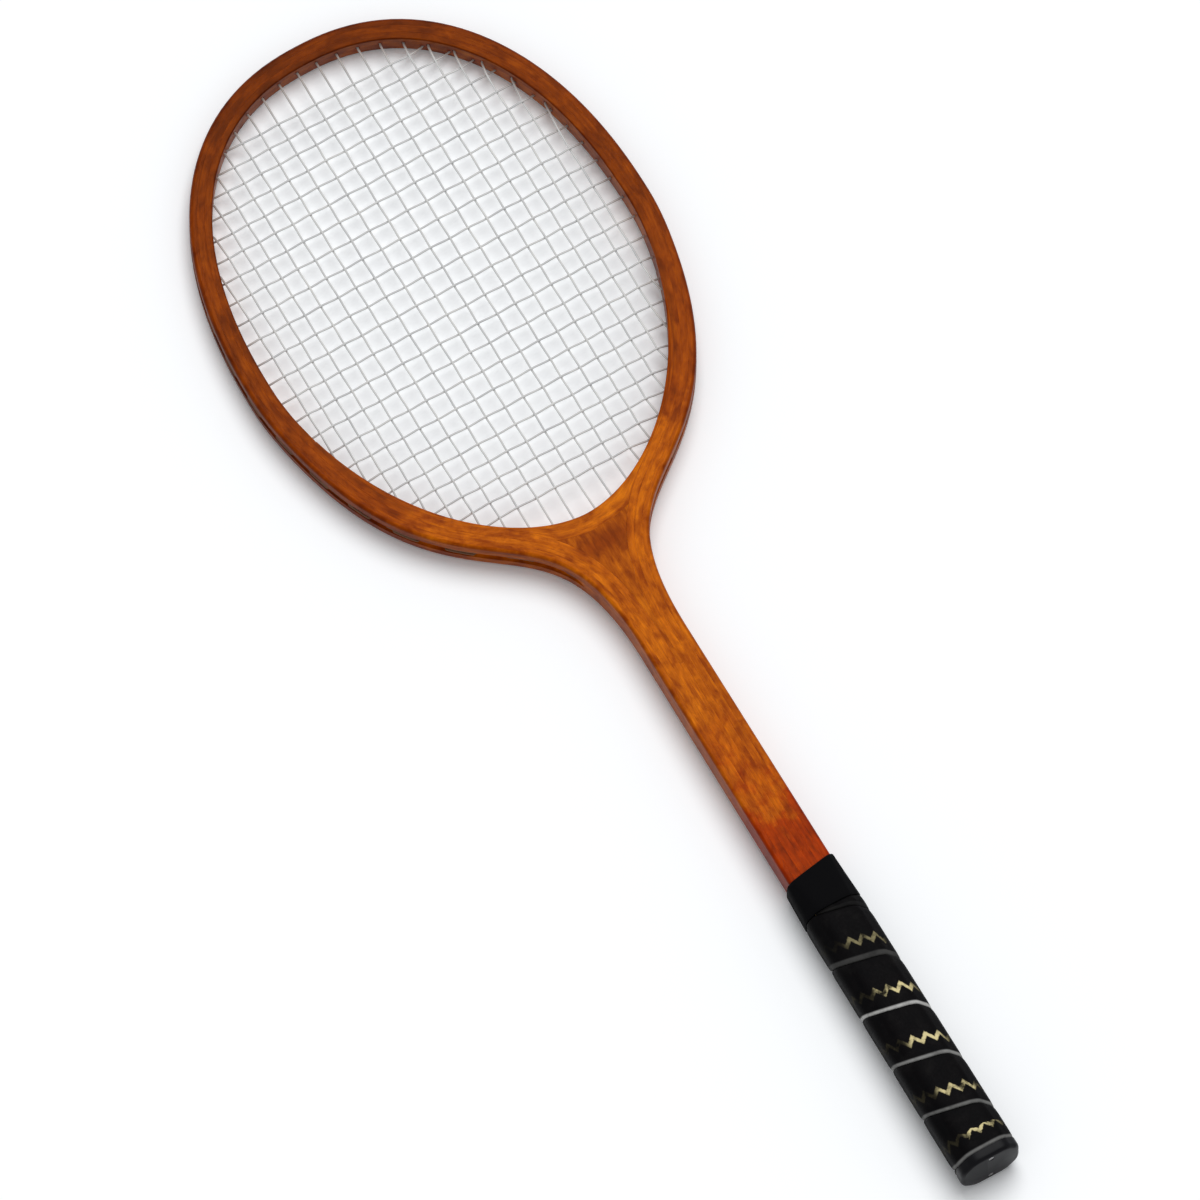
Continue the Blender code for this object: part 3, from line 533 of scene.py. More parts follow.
def bent_ply(number, name, material, slot, node):
    """One ply, bent from a straight strip; the outermost is rounded outside and grooved."""
    near = number * PLY + (GLUE_LINE / 2 if number else 0.0)
    outermost = number == PLY_COUNT - 1
    far = (number + 1) * PLY - (0.0 if outermost else GLUE_LINE / 2)
    near_round = PLY_EDGE if number else INNER_ROUND
    far_round = OUTER_ROUND if outermost else PLY_EDGE
    section = strip_section(near, far, SHAFT_HALF_THICKNESS, near_round, far_round, outermost)
    strip = straight_strip(section, -edge_lengths[-1], edge_lengths[-1], PLY_STEP)
    groove_floor = far - GROOVE_DEPTH
    shades = {}
    for vert in strip.verts:
        across, along, z = vert.co
        in_groove = outermost and abs(z) < GROOVE_HALF_WIDTH and across < groove_floor + 1e-5
        if in_groove and across > groove_floor - 1e-5:
            openness = part_way(abs(along), GROOVE_REACH, GROOVE_REACH - GROOVE_FADE)
            across = far - GROOVE_DEPTH * openness
        if number == 0 and across < INNER_ROUND and abs(z) > SHAFT_HALF_THICKNESS - INNER_ROUND:
            square = LEG_SQUARE * part_way(abs(along), PARTING_ALONG, PARTING_ALONG + LEG_SQUARE_FADE)
            across -= square * across
            z += square * (math.copysign(SHAFT_HALF_THICKNESS, z) - z)
        x, y = bow_point(along, across)
        if abs(z) > 1.2 * GROOVE_HALF_WIDTH:
            z = moved_in(y, z)
        vert.co = (x, y, z)
        shades[vert.index] = bow_shade(across, y, z)
    give_shade(strip, lambda vert: shades[vert.index])
    return new_piece(strip, name, material, slot, node)


outer_wood = varnished_wood("varnished outer ash", 0.97, 0.03, 3.1)
middle_wood = varnished_wood("varnished middle ash", 1.02, 0.0, 7.7)
inner_wood = varnished_wood("varnished inner ash", 1.04, 0.0, 12.9)
inner_ply = bent_ply(0, "inner_bow_ply_wood", inner_wood, "light_ash", "inner_bow_ply")
middle_ply = bent_ply(1, "middle_bow_ply_wood", middle_wood, "ash", "middle_bow_ply")
outer_ply = bent_ply(2, "outer_bow_ply_wood", outer_wood, "ash", "outer_bow_ply")

# Throat arch: one light strip, bent round under the strings and glued to the inside of the bow.
# It closes the oval, and its two horns thin out to nothing where the bow becomes the rim.
ARCH_DEPTH = 0.0094
ARCH_FEATHER = 0.00025
ARCH_ROUND = 0.0008
ARCH_STRIP_HALF = 0.13
ARCH_STEP = 0.0013


def first_hit(start, direction, path):
    """Distance from start along direction to an open path, and the place on it in points."""
    ends = np.diff(path, axis=0)
    away = path[:-1] - start
    cross = direction[0] * ends[:, 1] - direction[1] * ends[:, 0]
    cross = np.where(np.abs(cross) < 1e-12, 1e-12, cross)
    distance = (away[:, 0] * ends[:, 1] - away[:, 1] * ends[:, 0]) / cross
    share = (away[:, 0] * direction[1] - away[:, 1] * direction[0]) / cross
    good = (distance > 0) & (share >= 0) & (share <= 1)
    if not good.any():
        return math.inf, 0.0
    which = int(np.argmin(np.where(good, distance, math.inf)))
    return float(distance[which]), which + float(share[which])


glue_face = edge - GLUE_LINE * edge_normals
arch_angles, arch_depths = [], []
for angle in np.linspace(math.pi, angle_at_height(WIDEST - PARTING_DROP), 400):
    point, normal = opening_at(angle)
    depth = min(first_hit(point, normal, glue_face)[0], ARCH_DEPTH)
    if depth < ARCH_FEATHER:
        break
    arch_angles.append(math.pi - angle)
    arch_depths.append(depth)
arch_reach = arch_angles[-1]
section = strip_section(0.0, ARCH_DEPTH, SHAFT_HALF_THICKNESS, ARCH_ROUND, PLY_EDGE)
arch = straight_strip(section, -ARCH_STRIP_HALF, ARCH_STRIP_HALF, ARCH_STEP)
arch_places = {}
for vert in arch.verts:
    across, along, z = vert.co
    turned = abs(along) / ARCH_STRIP_HALF * arch_reach
    point, normal = opening_at(math.pi - turned)
    depth = float(np.interp(turned, arch_angles, arch_depths))
    x, y = point + across * depth / ARCH_DEPTH * normal
    arch_places[vert.index] = (across / ARCH_DEPTH, y)
    vert.co = (math.copysign(x, along), y, moved_in(y, z))


def arch_shade(vert):
    """The edge of the opening is darker, more so up the horns: painted shade on its rounded edge, partly
    stain.
    """
    across, height = arch_places[vert.index]
    up = part_way(height, 0.405, 0.455)
    # Painted shade, partly stain, towards the edge of the opening, and more painted shade right on its
    # rounded edge.
    dark = 1 - (0.10 + 0.16 * up) * part_way(across, 0.35, 0.0)
    if across < 0.06:
        dark *= 0.75
    return dark, dark ** 1.2, dark ** 1.2


give_shade(arch, arch_shade)
arch_wood = varnished_wood("varnished arch ash", 1.05, -0.02, 21.3)
arch_piece = new_piece(arch, "throat_arch_wood", arch_wood, "light_ash", "throat_arch")

# Throat wedge: a solid triangle of darker wood, its grain along the racket, glued in between the
# arch and the two legs of the bow. Planed flush with them on both faces.
WEDGE_LENGTH = 0.0926
WEDGE_TIP = OPENING_BOTTOM - WEDGE_LENGTH
EDGE_BREAK = 0.00005


def flat_block(outline, half):
    """A flat outline filled and pulled up to a block, with its long edges just broken."""
    block = bmesh.new()
    face = block.faces.new([block.verts.new((x, y, -half)) for x, y in outline])
    grown = bmesh.ops.extrude_face_region(block, geom=[face])
    risen = [item for item in grown["geom"] if isinstance(item, bmesh.types.BMVert)]
    bmesh.ops.translate(block, verts=risen, vec=(0.0, 0.0, 2 * half))
    bmesh.ops.recalc_face_normals(block, faces=block.faces)
    level = [e for e in block.edges if abs(e.verts[0].co.z - e.verts[1].co.z) < 1e-6]
    bmesh.ops.bevel(
        block,
        geom=level,
        offset=EDGE_BREAK,
        offset_type="OFFSET",
        segments=1,
        profile=0.5,
        affect="EDGES",
        material=-1,
        clamp_overlap=True,
    )
    lay_grain(block)
    block.verts.index_update()
    return block


def floor_at(height):
    """Half width between the legs of the bow at a height below the opening."""
    order = np.argsort(glue_face[:, 1])
    return float(np.interp(height, glue_face[order, 1], glue_face[order, 0]))


top = []
for angle in np.linspace(math.pi, math.pi / 2, 900):
    point, normal = opening_at(angle)
    if first_hit(point, normal, glue_face)[0] < ARCH_DEPTH + GLUE_LINE:
        break
    top.append(point + (ARCH_DEPTH + GLUE_LINE) * normal)
top = np.array(top)[np.linspace(0, len(top) - 1, 24).round().astype(int)]
side = [(floor_at(height), height) for height in np.linspace(top[-1][1], WEDGE_TIP, 60)[1:]]
half_outline = np.vstack([top, np.array(side)])
wedge = flat_block(np.vstack([half_outline, half_outline[:0:-1] * (-1.0, 1.0)]), SHAFT_HALF_THICKNESS)


def wedge_shade(vert):
    """A little darker than the legs at the top, and as light as they are at its tip."""
    dark = 0.86 + 0.14 * part_way(vert.co.y, 0.365, 0.325)
    return dark, dark ** 1.4, dark ** 1.4


give_shade(wedge, wedge_shade)
wedge_wood = varnished_wood("varnished walnut", 0.92, 0.02, 33.9)
wedge_piece = new_piece(wedge, "throat_wedge_wood", wedge_wood, "walnut", "throat_wedge")

# Shaft core: a slim straight strip between the two legs of the bow, from the wedge's tip down to
# the end of the handle. Its glue lines hardly show under the varnish.
half = CORE_HALF_WIDTH - GLUE_LINE
core_top = WEDGE_TIP - GLUE_LINE
right = [(half, WOOD_END), (half, COLLAR_TOP), (floor_at(core_top), core_top)]
core = flat_block(right + [(-x, y) for x, y in right[::-1]], SHAFT_HALF_THICKNESS)
give_shade(core, lambda vert: (1.03, 1.04, 1.0))
core_wood = varnished_wood("varnished core ash", 1.04, 0.0, 41.7)
new_piece(core, "shaft_core_wood", core_wood, "ash", "shaft_core")

# Stringing: two grey nylon strings, 20 runs up and down and 23 across, woven over and under each
# other. Each run goes through a drilled hole in the rim and back along the groove outside it.
STRING_DIAMETER = 0.0013
STRING_SHOWN = 0.00114
MAIN_COUNT = 20
MAIN_FROM_SIDE = 0.0102
MAIN_CROWDING = 0.12
CROSS_COUNT = 23
CROSS_FROM_CROWN = 0.0190
CROSS_FROM_THROAT = 0.0225
CROSS_CROWDING = 0.09
WEAVE_RISE = 0.00060
HOLE_STAGGER = 0.0013
HOLE_RADIUS = 0.00095
BEND_OFF_RIM = 0.0015
HOLE_MOUTH = 0.0012
LONGEST_HOLE = 0.0254
THROAT_HOLE_STEP = 0.0085
LOOP_STEP = 0.0030
STRING_TAIL = 0.0060
LOOP_LINE = RIM - GROOVE_DEPTH + STRING_DIAMETER / 2 + 0.0003

loop_line = edge + LOOP_LINE * edge_normals


def spread(count, half_span, crowding):
    """Places from -half_span to half_span, a little closer together toward the ends."""
    shares = np.linspace(-1.0, 1.0, count)
    return half_span * ((1 + crowding) * shares - crowding * shares**3)


def bend_angle(axis, value, low, high):
    """Angle of the opening whose point just off the rim has this x (axis 0) or y (axis 1)."""

    def miss(angle):
        point, normal = opening_at(angle)
        return (point - BEND_OFF_RIM * normal)[axis] - value

    start = miss(low)
    for _ in range(50):
        middle = (low + high) / 2
        if (miss(middle) > 0) == (start > 0):
            low = middle
        else:
            high = middle
    return (low + high) / 2


def passage(angle):
    """Bend point off the rim, length of the hole and the length along the bow where it comes out."""
    point, normal = opening_at(angle)
    bend = point - BEND_OFF_RIM * normal
    distance, place = first_hit(bend, normal, loop_line)
    return bend, distance, float(np.interp(place, np.arange(len(edge_lengths)), edge_lengths))


def inside_opening(x, y):
    """Whether a crossing lies clear of the rim."""
    power = CROWN_ROUNDNESS if y > WIDEST else THROAT_ROUNDNESS
    depth = CROWN_DEPTH if y > WIDEST else THROAT_DEPTH
    clear = 2 * BEND_OFF_RIM
    return abs(x / (HEAD_HALF_WIDTH - clear)) ** power + abs((y - WIDEST) / (depth - clear)) ** power < 1.0


main_places = spread(MAIN_COUNT, HEAD_HALF_WIDTH - MAIN_FROM_SIDE, MAIN_CROWDING)
highest = LENGTH - RIM - CROSS_FROM_CROWN
lowest = OPENING_BOTTOM + CROSS_FROM_THROAT
cross_places = (highest + lowest) / 2 - spread(CROSS_COUNT, (highest - lowest) / 2, CROSS_CROWDING)

lower, upper, left, right = {}, {}, {}, {}
last = 0.0
for i in range(MAIN_COUNT - 1, MAIN_COUNT // 2 - 1, -1):
    up_bend, _, up_along = passage(bend_angle(0, main_places[i], 0.0, math.pi / 2))
    bend, distance, along = passage(bend_angle(0, main_places[i], math.pi / 2, math.pi))
    if distance > LONGEST_HOLE:
        along = last + THROAT_HOLE_STEP
    last = along
    for number, side in ((i, 1.0), (MAIN_COUNT - 1 - i, -1.0)):
        lower[number] = (bend * (side, 1.0), side * along)
        upper[number] = (up_bend * (side, 1.0), side * up_along)
for j, height in enumerate(cross_places):
    bend, _, along = passage(bend_angle(1, height, 0.0, math.pi))
    right[j] = (bend, along)
    left[j] = (bend * (-1.0, 1.0), -along)



def crossing(i, j, side):
    """Where main i and cross j meet; the mains have side 1 and the crosses -1."""
    return main_places[i], cross_places[j], side * WEAVE_RISE * (-1) ** (i + j)


main_runs, cross_runs = [], []
for i, x in enumerate(main_places):
    marks = [crossing(i, j, 1) for j, y in enumerate(cross_places) if inside_opening(x, y)]
    forward = i % 2 == 0
    main_runs.append((upper[i], marks, lower[i]) if forward else (lower[i], marks[::-1], upper[i]))
for j, y in enumerate(cross_places):
    marks = [crossing(i, j, -1) for i, x in enumerate(main_places) if inside_opening(x, y)]
    forward = j % 2 == 0
    cross_runs.append((left[j], marks, right[j]) if forward else (right[j], marks[::-1], left[j]))

hole_wall, tree, shader = new_material("drilled hole", 0.1)
shader.inputs["Roughness"].default_value = 0.8
# The drilled holes are dark brown inside, darker in patches.
hole_speckle = noise_on(tree, object_place(tree), Scale=900.0, Detail=3.0)
tone_by(tree, shader, hole_speckle, ((0.3, paint(34, 15, 6)), (0.7, paint(74, 36, 14))))


def add_rod(bm, start, end, radius, sides):
    """Adds a closed round rod between two points."""
    axis = end - start
    turn = axis.to_track_quat("Z", "Y").to_matrix().to_4x4()
    bmesh.ops.create_cone(
        bm,
        cap_ends=True,
        segments=sides,
        radius1=radius,
        radius2=radius,
        depth=axis.length,
        matrix=Matrix.Translation((start + end) / 2) @ turn,
    )


def cut_away(pieces, cutter_mesh, wall):
    """Cuts a mesh out of some pieces for good, and leaves a second material in the cut."""
    cutter_data = bpy.data.meshes.new("cutter")
    cutter_mesh.to_mesh(cutter_data)
    cutter_mesh.free()
    cutter_data.materials.append(wall)
    cutter = bpy.data.objects.new("cutter", cutter_data)
    bpy.context.scene.collection.objects.link(cutter)
    for piece in pieces:
        piece.data.materials.append(wall)
        cut = piece.modifiers.new("cut", "BOOLEAN")
        cut.object = cutter
        cut.operation = "DIFFERENCE"
        cut.solver = "EXACT"
        cut.material_mode = "TRANSFER"
    bpy.context.view_layer.update()
    graph = bpy.context.evaluated_depsgraph_get()
    for piece in pieces:
        done = bpy.data.meshes.new_from_object(piece.evaluated_get(graph))
        piece.modifiers.clear()
        old = piece.data
        name = old.name
        piece.data = done
        bpy.data.meshes.remove(old)
        done.name = name
    bpy.data.objects.remove(cutter)
    bpy.data.meshes.remove(cutter_data)


drill = bmesh.new()
for runs_made, z in ((main_runs, HOLE_STAGGER), (cross_runs, -HOLE_STAGGER)):
    for entry, _, leave in runs_made:
        for bend, along in (entry, leave):
            inner = Vector((*bend, z))
            outer = Vector((*bow_point(along, LOOP_LINE), z))
            reach = (outer - inner).normalized()
            add_rod(drill, inner, outer + 0.0012 * reach, HOLE_RADIUS, 12)
cut_away((outer_ply, middle_ply, inner_ply, arch_piece, wedge_piece), drill, hole_wall)


def bend_round(before, corner, after, radius):
    """A few points that turn a corner of a taut string in a small curve."""
    a = corner + (before - corner).normalized() * min(radius, (before - corner).length / 2)
    b = corner + (after - corner).normalized() * min(radius, (after - corner).length / 2)
    return [a * (1 - t) ** 2 + corner * 2 * t * (1 - t) + b * t * t for t in (0.0, 0.25, 0.5, 0.75, 1.0)]


def string_path(runs_made, z):
    """All the points of one string, from its tail in the groove through every run to its other tail."""

    def mouth_and_end(passing):
        bend, out = Vector((*passing[0], z)), Vector((*bow_point(passing[1], LOOP_LINE), z))
        return bend + HOLE_MOUTH * (out - bend).normalized(), out

    first, last = runs_made[0][0][1], runs_made[-1][2][1]
    knots = [Vector((*bow_point(first - math.copysign(STRING_TAIL, first), LOOP_LINE), z))]
    weaves = set()
    for number, (entry, marks, leave) in enumerate(runs_made):
        knots += mouth_and_end(entry)[::-1]
        for mark in marks:
            near_end = min(math.dist(mark[:2], entry[0]), math.dist(mark[:2], leave[0]))
            if near_end > 0.004:
                weaves.add(len(knots))
                knots.append(Vector(mark))
        knots += mouth_and_end(leave)
        if number + 1 < len(runs_made):
            here, there = leave[1], runs_made[number + 1][0][1]
            count = max(1, math.ceil(abs(there - here) / LOOP_STEP))
            for s in np.linspace(here, there, count + 1)[1:-1]:
                knots.append(Vector((*bow_point(s, LOOP_LINE), z)))
    knots.append(Vector((*bow_point(last + math.copysign(STRING_TAIL, last), LOOP_LINE), z)))
    path = [knots[0]]
    for k in range(1, len(knots) - 1):
        if k in weaves:
            path.append(knots[k])
            if k + 1 in weaves:
                for t in (0.2, 0.4, 0.6, 0.8):
                    point = knots[k].lerp(knots[k + 1], t)
                    rise = (1 - math.cos(math.pi * t)) / 2
                    point.z = knots[k].z + (knots[k + 1].z - knots[k].z) * rise
                    path.append(point)
        else:
            path += bend_round(knots[k - 1], knots[k], knots[k + 1], 0.0012)
    path.append(knots[-1])
    return path


loop_tree = KDTree(len(loop_line))
for number, (x, y) in enumerate(loop_line):
    loop_tree.insert((x, y, 0.0), number)
loop_tree.balance()


def loop_shade(vert):
    """The strings are darker next to the rim and brown in the groove: painted shade, with the frame's
    varnish on the loops.
    """
    away = loop_tree.find((abs(vert.co.x), vert.co.y, 0.0))[2]
    # Painted shade and varnish on the loops in the groove.
    clear_of_stain_and_shade = 0.45 * part_way(away, 0.0015, 0.0035)
    # Painted shade on the runs next to the rim, inside the opening.
    if abs(vert.co.x) < HEAD_HALF_WIDTH and vert.co.y > OPENING_BOTTOM:
        clear_of_stain_and_shade += 0.55 * part_way(away, RIM + 0.0005, RIM + 0.0050)
    return 0.26 + 0.74 * clear_of_stain_and_shade, 0.11 + 0.89 * clear_of_stain_and_shade, 0.04 + 0.96 * clear_of_stain_and_shade


def nylon_string(name, node, path, seed):
    """One string as a round tube along its path, with closed ends."""
    material, tree, shader = new_material(name + " grey nylon", 0.35)
    shift = add_node(tree, "ShaderNodeMapping")
    shift.inputs["Location"].default_value = (seed, 0.0, 0.0)
    tree.links.new(object_place(tree), shift.inputs["Vector"])
    fading = noise_on(tree, shift.outputs[0], Scale=60.0, Detail=3.0)
    wrap = noise_on(tree, shift.outputs[0], Scale=1500.0, Detail=2.0)
    tone = ramp(tree, ((0.30, paint(196, 197, 198)), (0.70, paint(216, 216, 214))))
    tree.links.new(fading, tone.inputs["Fac"])
    # The shade attribute holds painted shade and varnish on the strings.
    stain = add_node(tree, "ShaderNodeAttribute", attribute_name="shade")
    tree.links.new(times(tree, tone.outputs["Color"], stain.outputs["Color"]), shader.inputs["Base Color"])
    roughen(tree, shader, wrap, 0.30, 0.55)
    raise_by(tree, shader, wrap, 0.2, 0.0001)

    curve = bpy.data.curves.new(name, "CURVE")
    curve.dimensions = "3D"
    spline = curve.splines.new("POLY")
    spline.points.add(len(path) - 1)
    for knot, point in zip(spline.points, path):
        knot.co = (*point, 1.0)
    curve.bevel_depth = STRING_SHOWN / 2
    curve.bevel_resolution = 2
    curve.use_fill_caps = True
    guide = bpy.data.objects.new(name + "_guide", curve)
    bpy.context.scene.collection.objects.link(guide)
    tube_mesh = bpy.data.meshes.new_from_object(guide.evaluated_get(bpy.context.evaluated_depsgraph_get()))
    bpy.data.objects.remove(guide)
    bpy.data.curves.remove(curve)
    tube = bmesh.new()
    tube.from_mesh(tube_mesh)
    bpy.data.meshes.remove(tube_mesh)
    bmesh.ops.remove_doubles(tube, verts=tube.verts, dist=1e-6)
    give_shade(tube, loop_shade)
    return new_piece(tube, name, material, "string", node)


nylon_string("main_string_nylon", "main_string", string_path(main_runs, HOLE_STAGGER), 0.0)
nylon_string("cross_string_nylon", "cross_string", string_path(cross_runs, -HOLE_STAGGER), 3.0)

# Pallets: four pieces of raw limewood glued round the shaft, which build it up to the octagon of
# the handle. They lie under the grip, and their thin upper ends under the collar.
limewood, tree, shader = new_material("raw limewood", 0.2)
laid = add_node(tree, "ShaderNodeMapping")
laid.inputs["Scale"].default_value = (700.0, 22.0, 700.0)
tree.links.new(object_place(tree), laid.inputs["Vector"])
fibre = noise_on(tree, laid.outputs[0], Scale=1.0, Detail=4.0, Distortion=0.3)
lime_tones = (0.25, paint(186, 150, 104)), (0.5, paint(208, 176, 130)), (0.8, paint(222, 194, 152))
tone_by(tree, shader, fibre, lime_tones)
roughen(tree, shader, fibre, 0.6, 0.85)
raise_by(tree, shader, fibre, 0.2, 0.0002)


def show_in(material, *names):
    """Shows some of the frame's own shapes in a material."""
    for name in names:
        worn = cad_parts[name].data.materials
        worn.clear()
        worn.append(material)


show_in(limewood, "front_pallet", "back_pallet", "left_pallet", "right_pallet")

# Butt cap: a moulded cup of glossy black plastic, pushed over the end of the handle and held by
# two small nails. Its edge is rounded, and the nail heads sit in two shallow recesses.
ROUND_POINTS = 96
GRIP_TOP = 0.1548
GRIP_WIDTH = 0.0328
GRIP_THICKNESS = 0.0292
GRIP_NARROWING = 0.0014
GRIP_CORNER_CUT = 0.0070
STRIP_THICKNESS = 0.0016
BUTT_CAP_LENGTH = 0.0055
BUTT_CAP_FLOOR = 0.0026
BUTT_CAP_ROUND = 0.0022
NAIL_SPREAD = 0.0210
NAIL_HEAD = 0.0030
NAIL_HEAD_HEIGHT = 0.0009


def grip_section(height):
    """Half width, half depth and corner cut of the outside of the grip."""
    narrowing = GRIP_NARROWING / 2 * part_way(height, 0.0, GRIP_TOP)
    return GRIP_WIDTH / 2 - narrowing, GRIP_THICKNESS / 2 - narrowing, GRIP_CORNER_CUT


def shrunk(section, inset):
    """A section with every flat moved in by the same amount."""
    half_width, half_depth, corner_cut = section
    return half_width - inset, half_depth - inset, corner_cut - inset * (2 - math.sqrt(2))


def octagon_ring(section, soften=3):
    """Points round an octagon from its right side over the front, with its corners a little softened."""
    half_width, half_depth, corner_cut = section
    corners = []
    for side_x, side_z in ((1, 1), (-1, 1), (-1, -1), (1, -1)):
        flat = (side_x * half_width, side_z * (half_depth - corner_cut))
        slant = (side_x * (half_width - corner_cut), side_z * half_depth)
        corners += (flat, slant) if side_x * side_z > 0 else (slant, flat)
    corners = np.array(corners)
    shares = np.arange(ROUND_POINTS // 8)[:, None] / (ROUND_POINTS // 8)
    ring = np.vstack([a + shares * (b - a) for a, b in zip(corners, np.roll(corners, -1, axis=0))])
    return sum(np.roll(ring, k, axis=0) for k in range(-soften, soften + 1)) / (2 * soften + 1)


def layered_ring(layers, closed_tube):
    """A body drawn up from ring to ring, each layer a (height, ring of points); a tube or a cup."""
    body = bmesh.new()
    bmesh.ops.create_circle(body, cap_ends=not closed_tube, segments=ROUND_POINTS, radius=1.0)
    for level in range(1, len(layers)):
        if closed_tube:
            loop = [e for e in body.edges if all(v.co.z > level - 1.5 for v in e.verts)]
            grown = bmesh.ops.extrude_edge_only(body, edges=loop)
        else:
            top = [f for f in body.faces if all(v.co.z > level - 1.5 for v in f.verts)]
            grown = bmesh.ops.extrude_face_region(body, geom=top)
        risen = [item for item in grown["geom"] if isinstance(item, bmesh.types.BMVert)]
        for vert in risen:
            vert.co.z = level
    if closed_tube:
        ends = [e for e in body.edges if e.is_boundary]
        bmesh.ops.bridge_loops(body, edges=ends)
    for vert in body.verts:
        height, ring = layers[round(vert.co.z)]
        step = round(math.atan2(vert.co.y, vert.co.x) / (2 * math.pi) * ROUND_POINTS) % ROUND_POINTS
        x, z = ring[step]
        vert.co = (x, height, z)
    return body


def black_plastic(name, colour, specular, sheen_from, sheen_to, scuff):
    """Moulded black plastic, with faint scuffs that change its gloss."""
    material, tree, shader = new_material(name, specular)
    scuffs = noise_on(tree, object_place(tree), Scale=scuff, Detail=5.0, Roughness=0.65)
    lighter = (*(1.7 * part for part in colour[:3]), 1.0)
    tone_by(tree, shader, scuffs, ((0.3, colour), (0.75, lighter)))
    roughen(tree, shader, scuffs, sheen_from, sheen_to)
    raise_by(tree, shader, scuffs, 0.1, 0.0001)
    return material


cap_layers = []
for k in range(6):
    angle = math.pi / 2 * k / 5
    inset = BUTT_CAP_ROUND * (1 - math.sin(angle))
    height = BUTT_CAP_ROUND * (1 - math.cos(angle))
    cap_layers.append((height, octagon_ring(shrunk(grip_section(height), inset))))
cap_layers.append((BUTT_CAP_LENGTH, octagon_ring(grip_section(BUTT_CAP_LENGTH))))
cap_layers.append((BUTT_CAP_LENGTH, octagon_ring(shrunk(grip_section(BUTT_CAP_LENGTH), STRIP_THICKNESS))))
cap_layers.append((BUTT_CAP_FLOOR, octagon_ring(shrunk(grip_section(BUTT_CAP_FLOOR), STRIP_THICKNESS))))
cap_plastic = black_plastic("black butt plastic", paint(7, 7, 10), 0.07, 0.24, 0.40, 240.0)
cap_piece = new_piece(layered_ring(cap_layers, False), "butt_cap_plastic", cap_plastic, "cap", "butt_cap")
recess = bmesh.new()
for z in (-NAIL_SPREAD / 2, NAIL_SPREAD / 2):
    floor_of_recess = Vector((0, NAIL_HEAD_HEIGHT + 0.0005, z))
    add_rod(recess, Vector((0, -0.001, z)), floor_of_recess, NAIL_HEAD / 2 + 0.0002, 24)
cut_away((cap_piece,), recess, cap_plastic)

# Grip strip: one long strip of black leather with skived edges, wound up the handle in five turns from the
# butt. A gilt zigzag is stamped along its middle, and its edges are pale, partly from wear and partly as a
# painted highlight.
STRIP_PITCH = 0.0302
STRIP_SEAM = 0.00008
STRIP_START_TURN = 0.37
STRIP_POINT = 0.006
STRIP_WIDTH = STRIP_PITCH - STRIP_SEAM
STRIP_FOOT = BUTT_CAP_LENGTH + 0.0003
STRIP_HEAD = GRIP_TOP - 0.00005

turns = (GRIP_TOP - BUTT_CAP_LENGTH - 0.0006) / STRIP_PITCH + 1
first_step = math.ceil((STRIP_START_TURN + STRIP_POINT) * ROUND_POINTS)
last_step = math.floor((STRIP_START_TURN + turns - STRIP_POINT) * ROUND_POINTS)
strip_profile = [(0.0, STRIP_THICKNESS), (0.0, 0.0009), (0.0003, 0.0005), (0.0008, 0.00028)]
strip_profile += [(0.0018, 0.00012), (0.0040, 0.0), (0.0110, 0.0)]
strip_profile += [(STRIP_WIDTH - across, inset) for across, inset in strip_profile[::-1]]
leather_strip = straight_strip(strip_profile, first_step, last_step, 1)
girth = octagon_ring(grip_section(GRIP_TOP / 2))
sides = np.linalg.norm(np.roll(girth, -1, axis=0) - girth, axis=1)
lengths_round = np.concatenate([[0.0], np.cumsum(sides)])
grain = leather_strip.loops.layers.uv["grain"]
for face in leather_strip.faces:
    for loop in face.loops:
        whole_turns, step = divmod(round(loop.vert.co.y), ROUND_POINTS)
        loop[grain].uv = (whole_turns * lengths_round[-1] + lengths_round[step], loop.vert.co.x)
for vert in leather_strip.verts:
    across, step, inset = vert.co
    travelled = STRIP_PITCH * (step / ROUND_POINTS - STRIP_START_TURN)
    low = max(STRIP_FOOT + travelled - STRIP_PITCH, STRIP_FOOT)
    high = min(STRIP_FOOT + travelled - STRIP_SEAM, STRIP_HEAD)
    if across < STRIP_WIDTH / 2:
        height = low + min(across, (high - low) * across / STRIP_WIDTH * 2)
        height = min(low + across, (low + high) / 2)
    else:
        height = max(high - (STRIP_WIDTH - across), (low + high) / 2)
    ring = octagon_ring(shrunk(grip_section(height), inset))
    x, z = ring[round(step) % ROUND_POINTS]
    vert.co = (x, height, z)

leather, tree, shader = new_material("black grip leather", 0.035)
link = tree.links.new


def maths(operation, first, second=0.0, third=None):
    """A value worked out from others, each a socket or a number."""
    node = add_node(tree, "ShaderNodeMath", operation=operation)
    for place, value in enumerate((first, second, third)):
        if value is None:
            continue
        if isinstance(value, (int, float)):
            node.inputs[place].default_value = value
        else:
            link(value, node.inputs[place])
    return node.outputs[0]


def fade(value, start, end):
    """A value that goes smoothly from 0 at start to 1 at end."""
    node = add_node(tree, "ShaderNodeMapRange", interpolation_type="SMOOTHSTEP")
    node.inputs["From Min"].default_value = start
    node.inputs["From Max"].default_value = end
    link(value, node.inputs["Value"])
    return node.outputs["Result"]


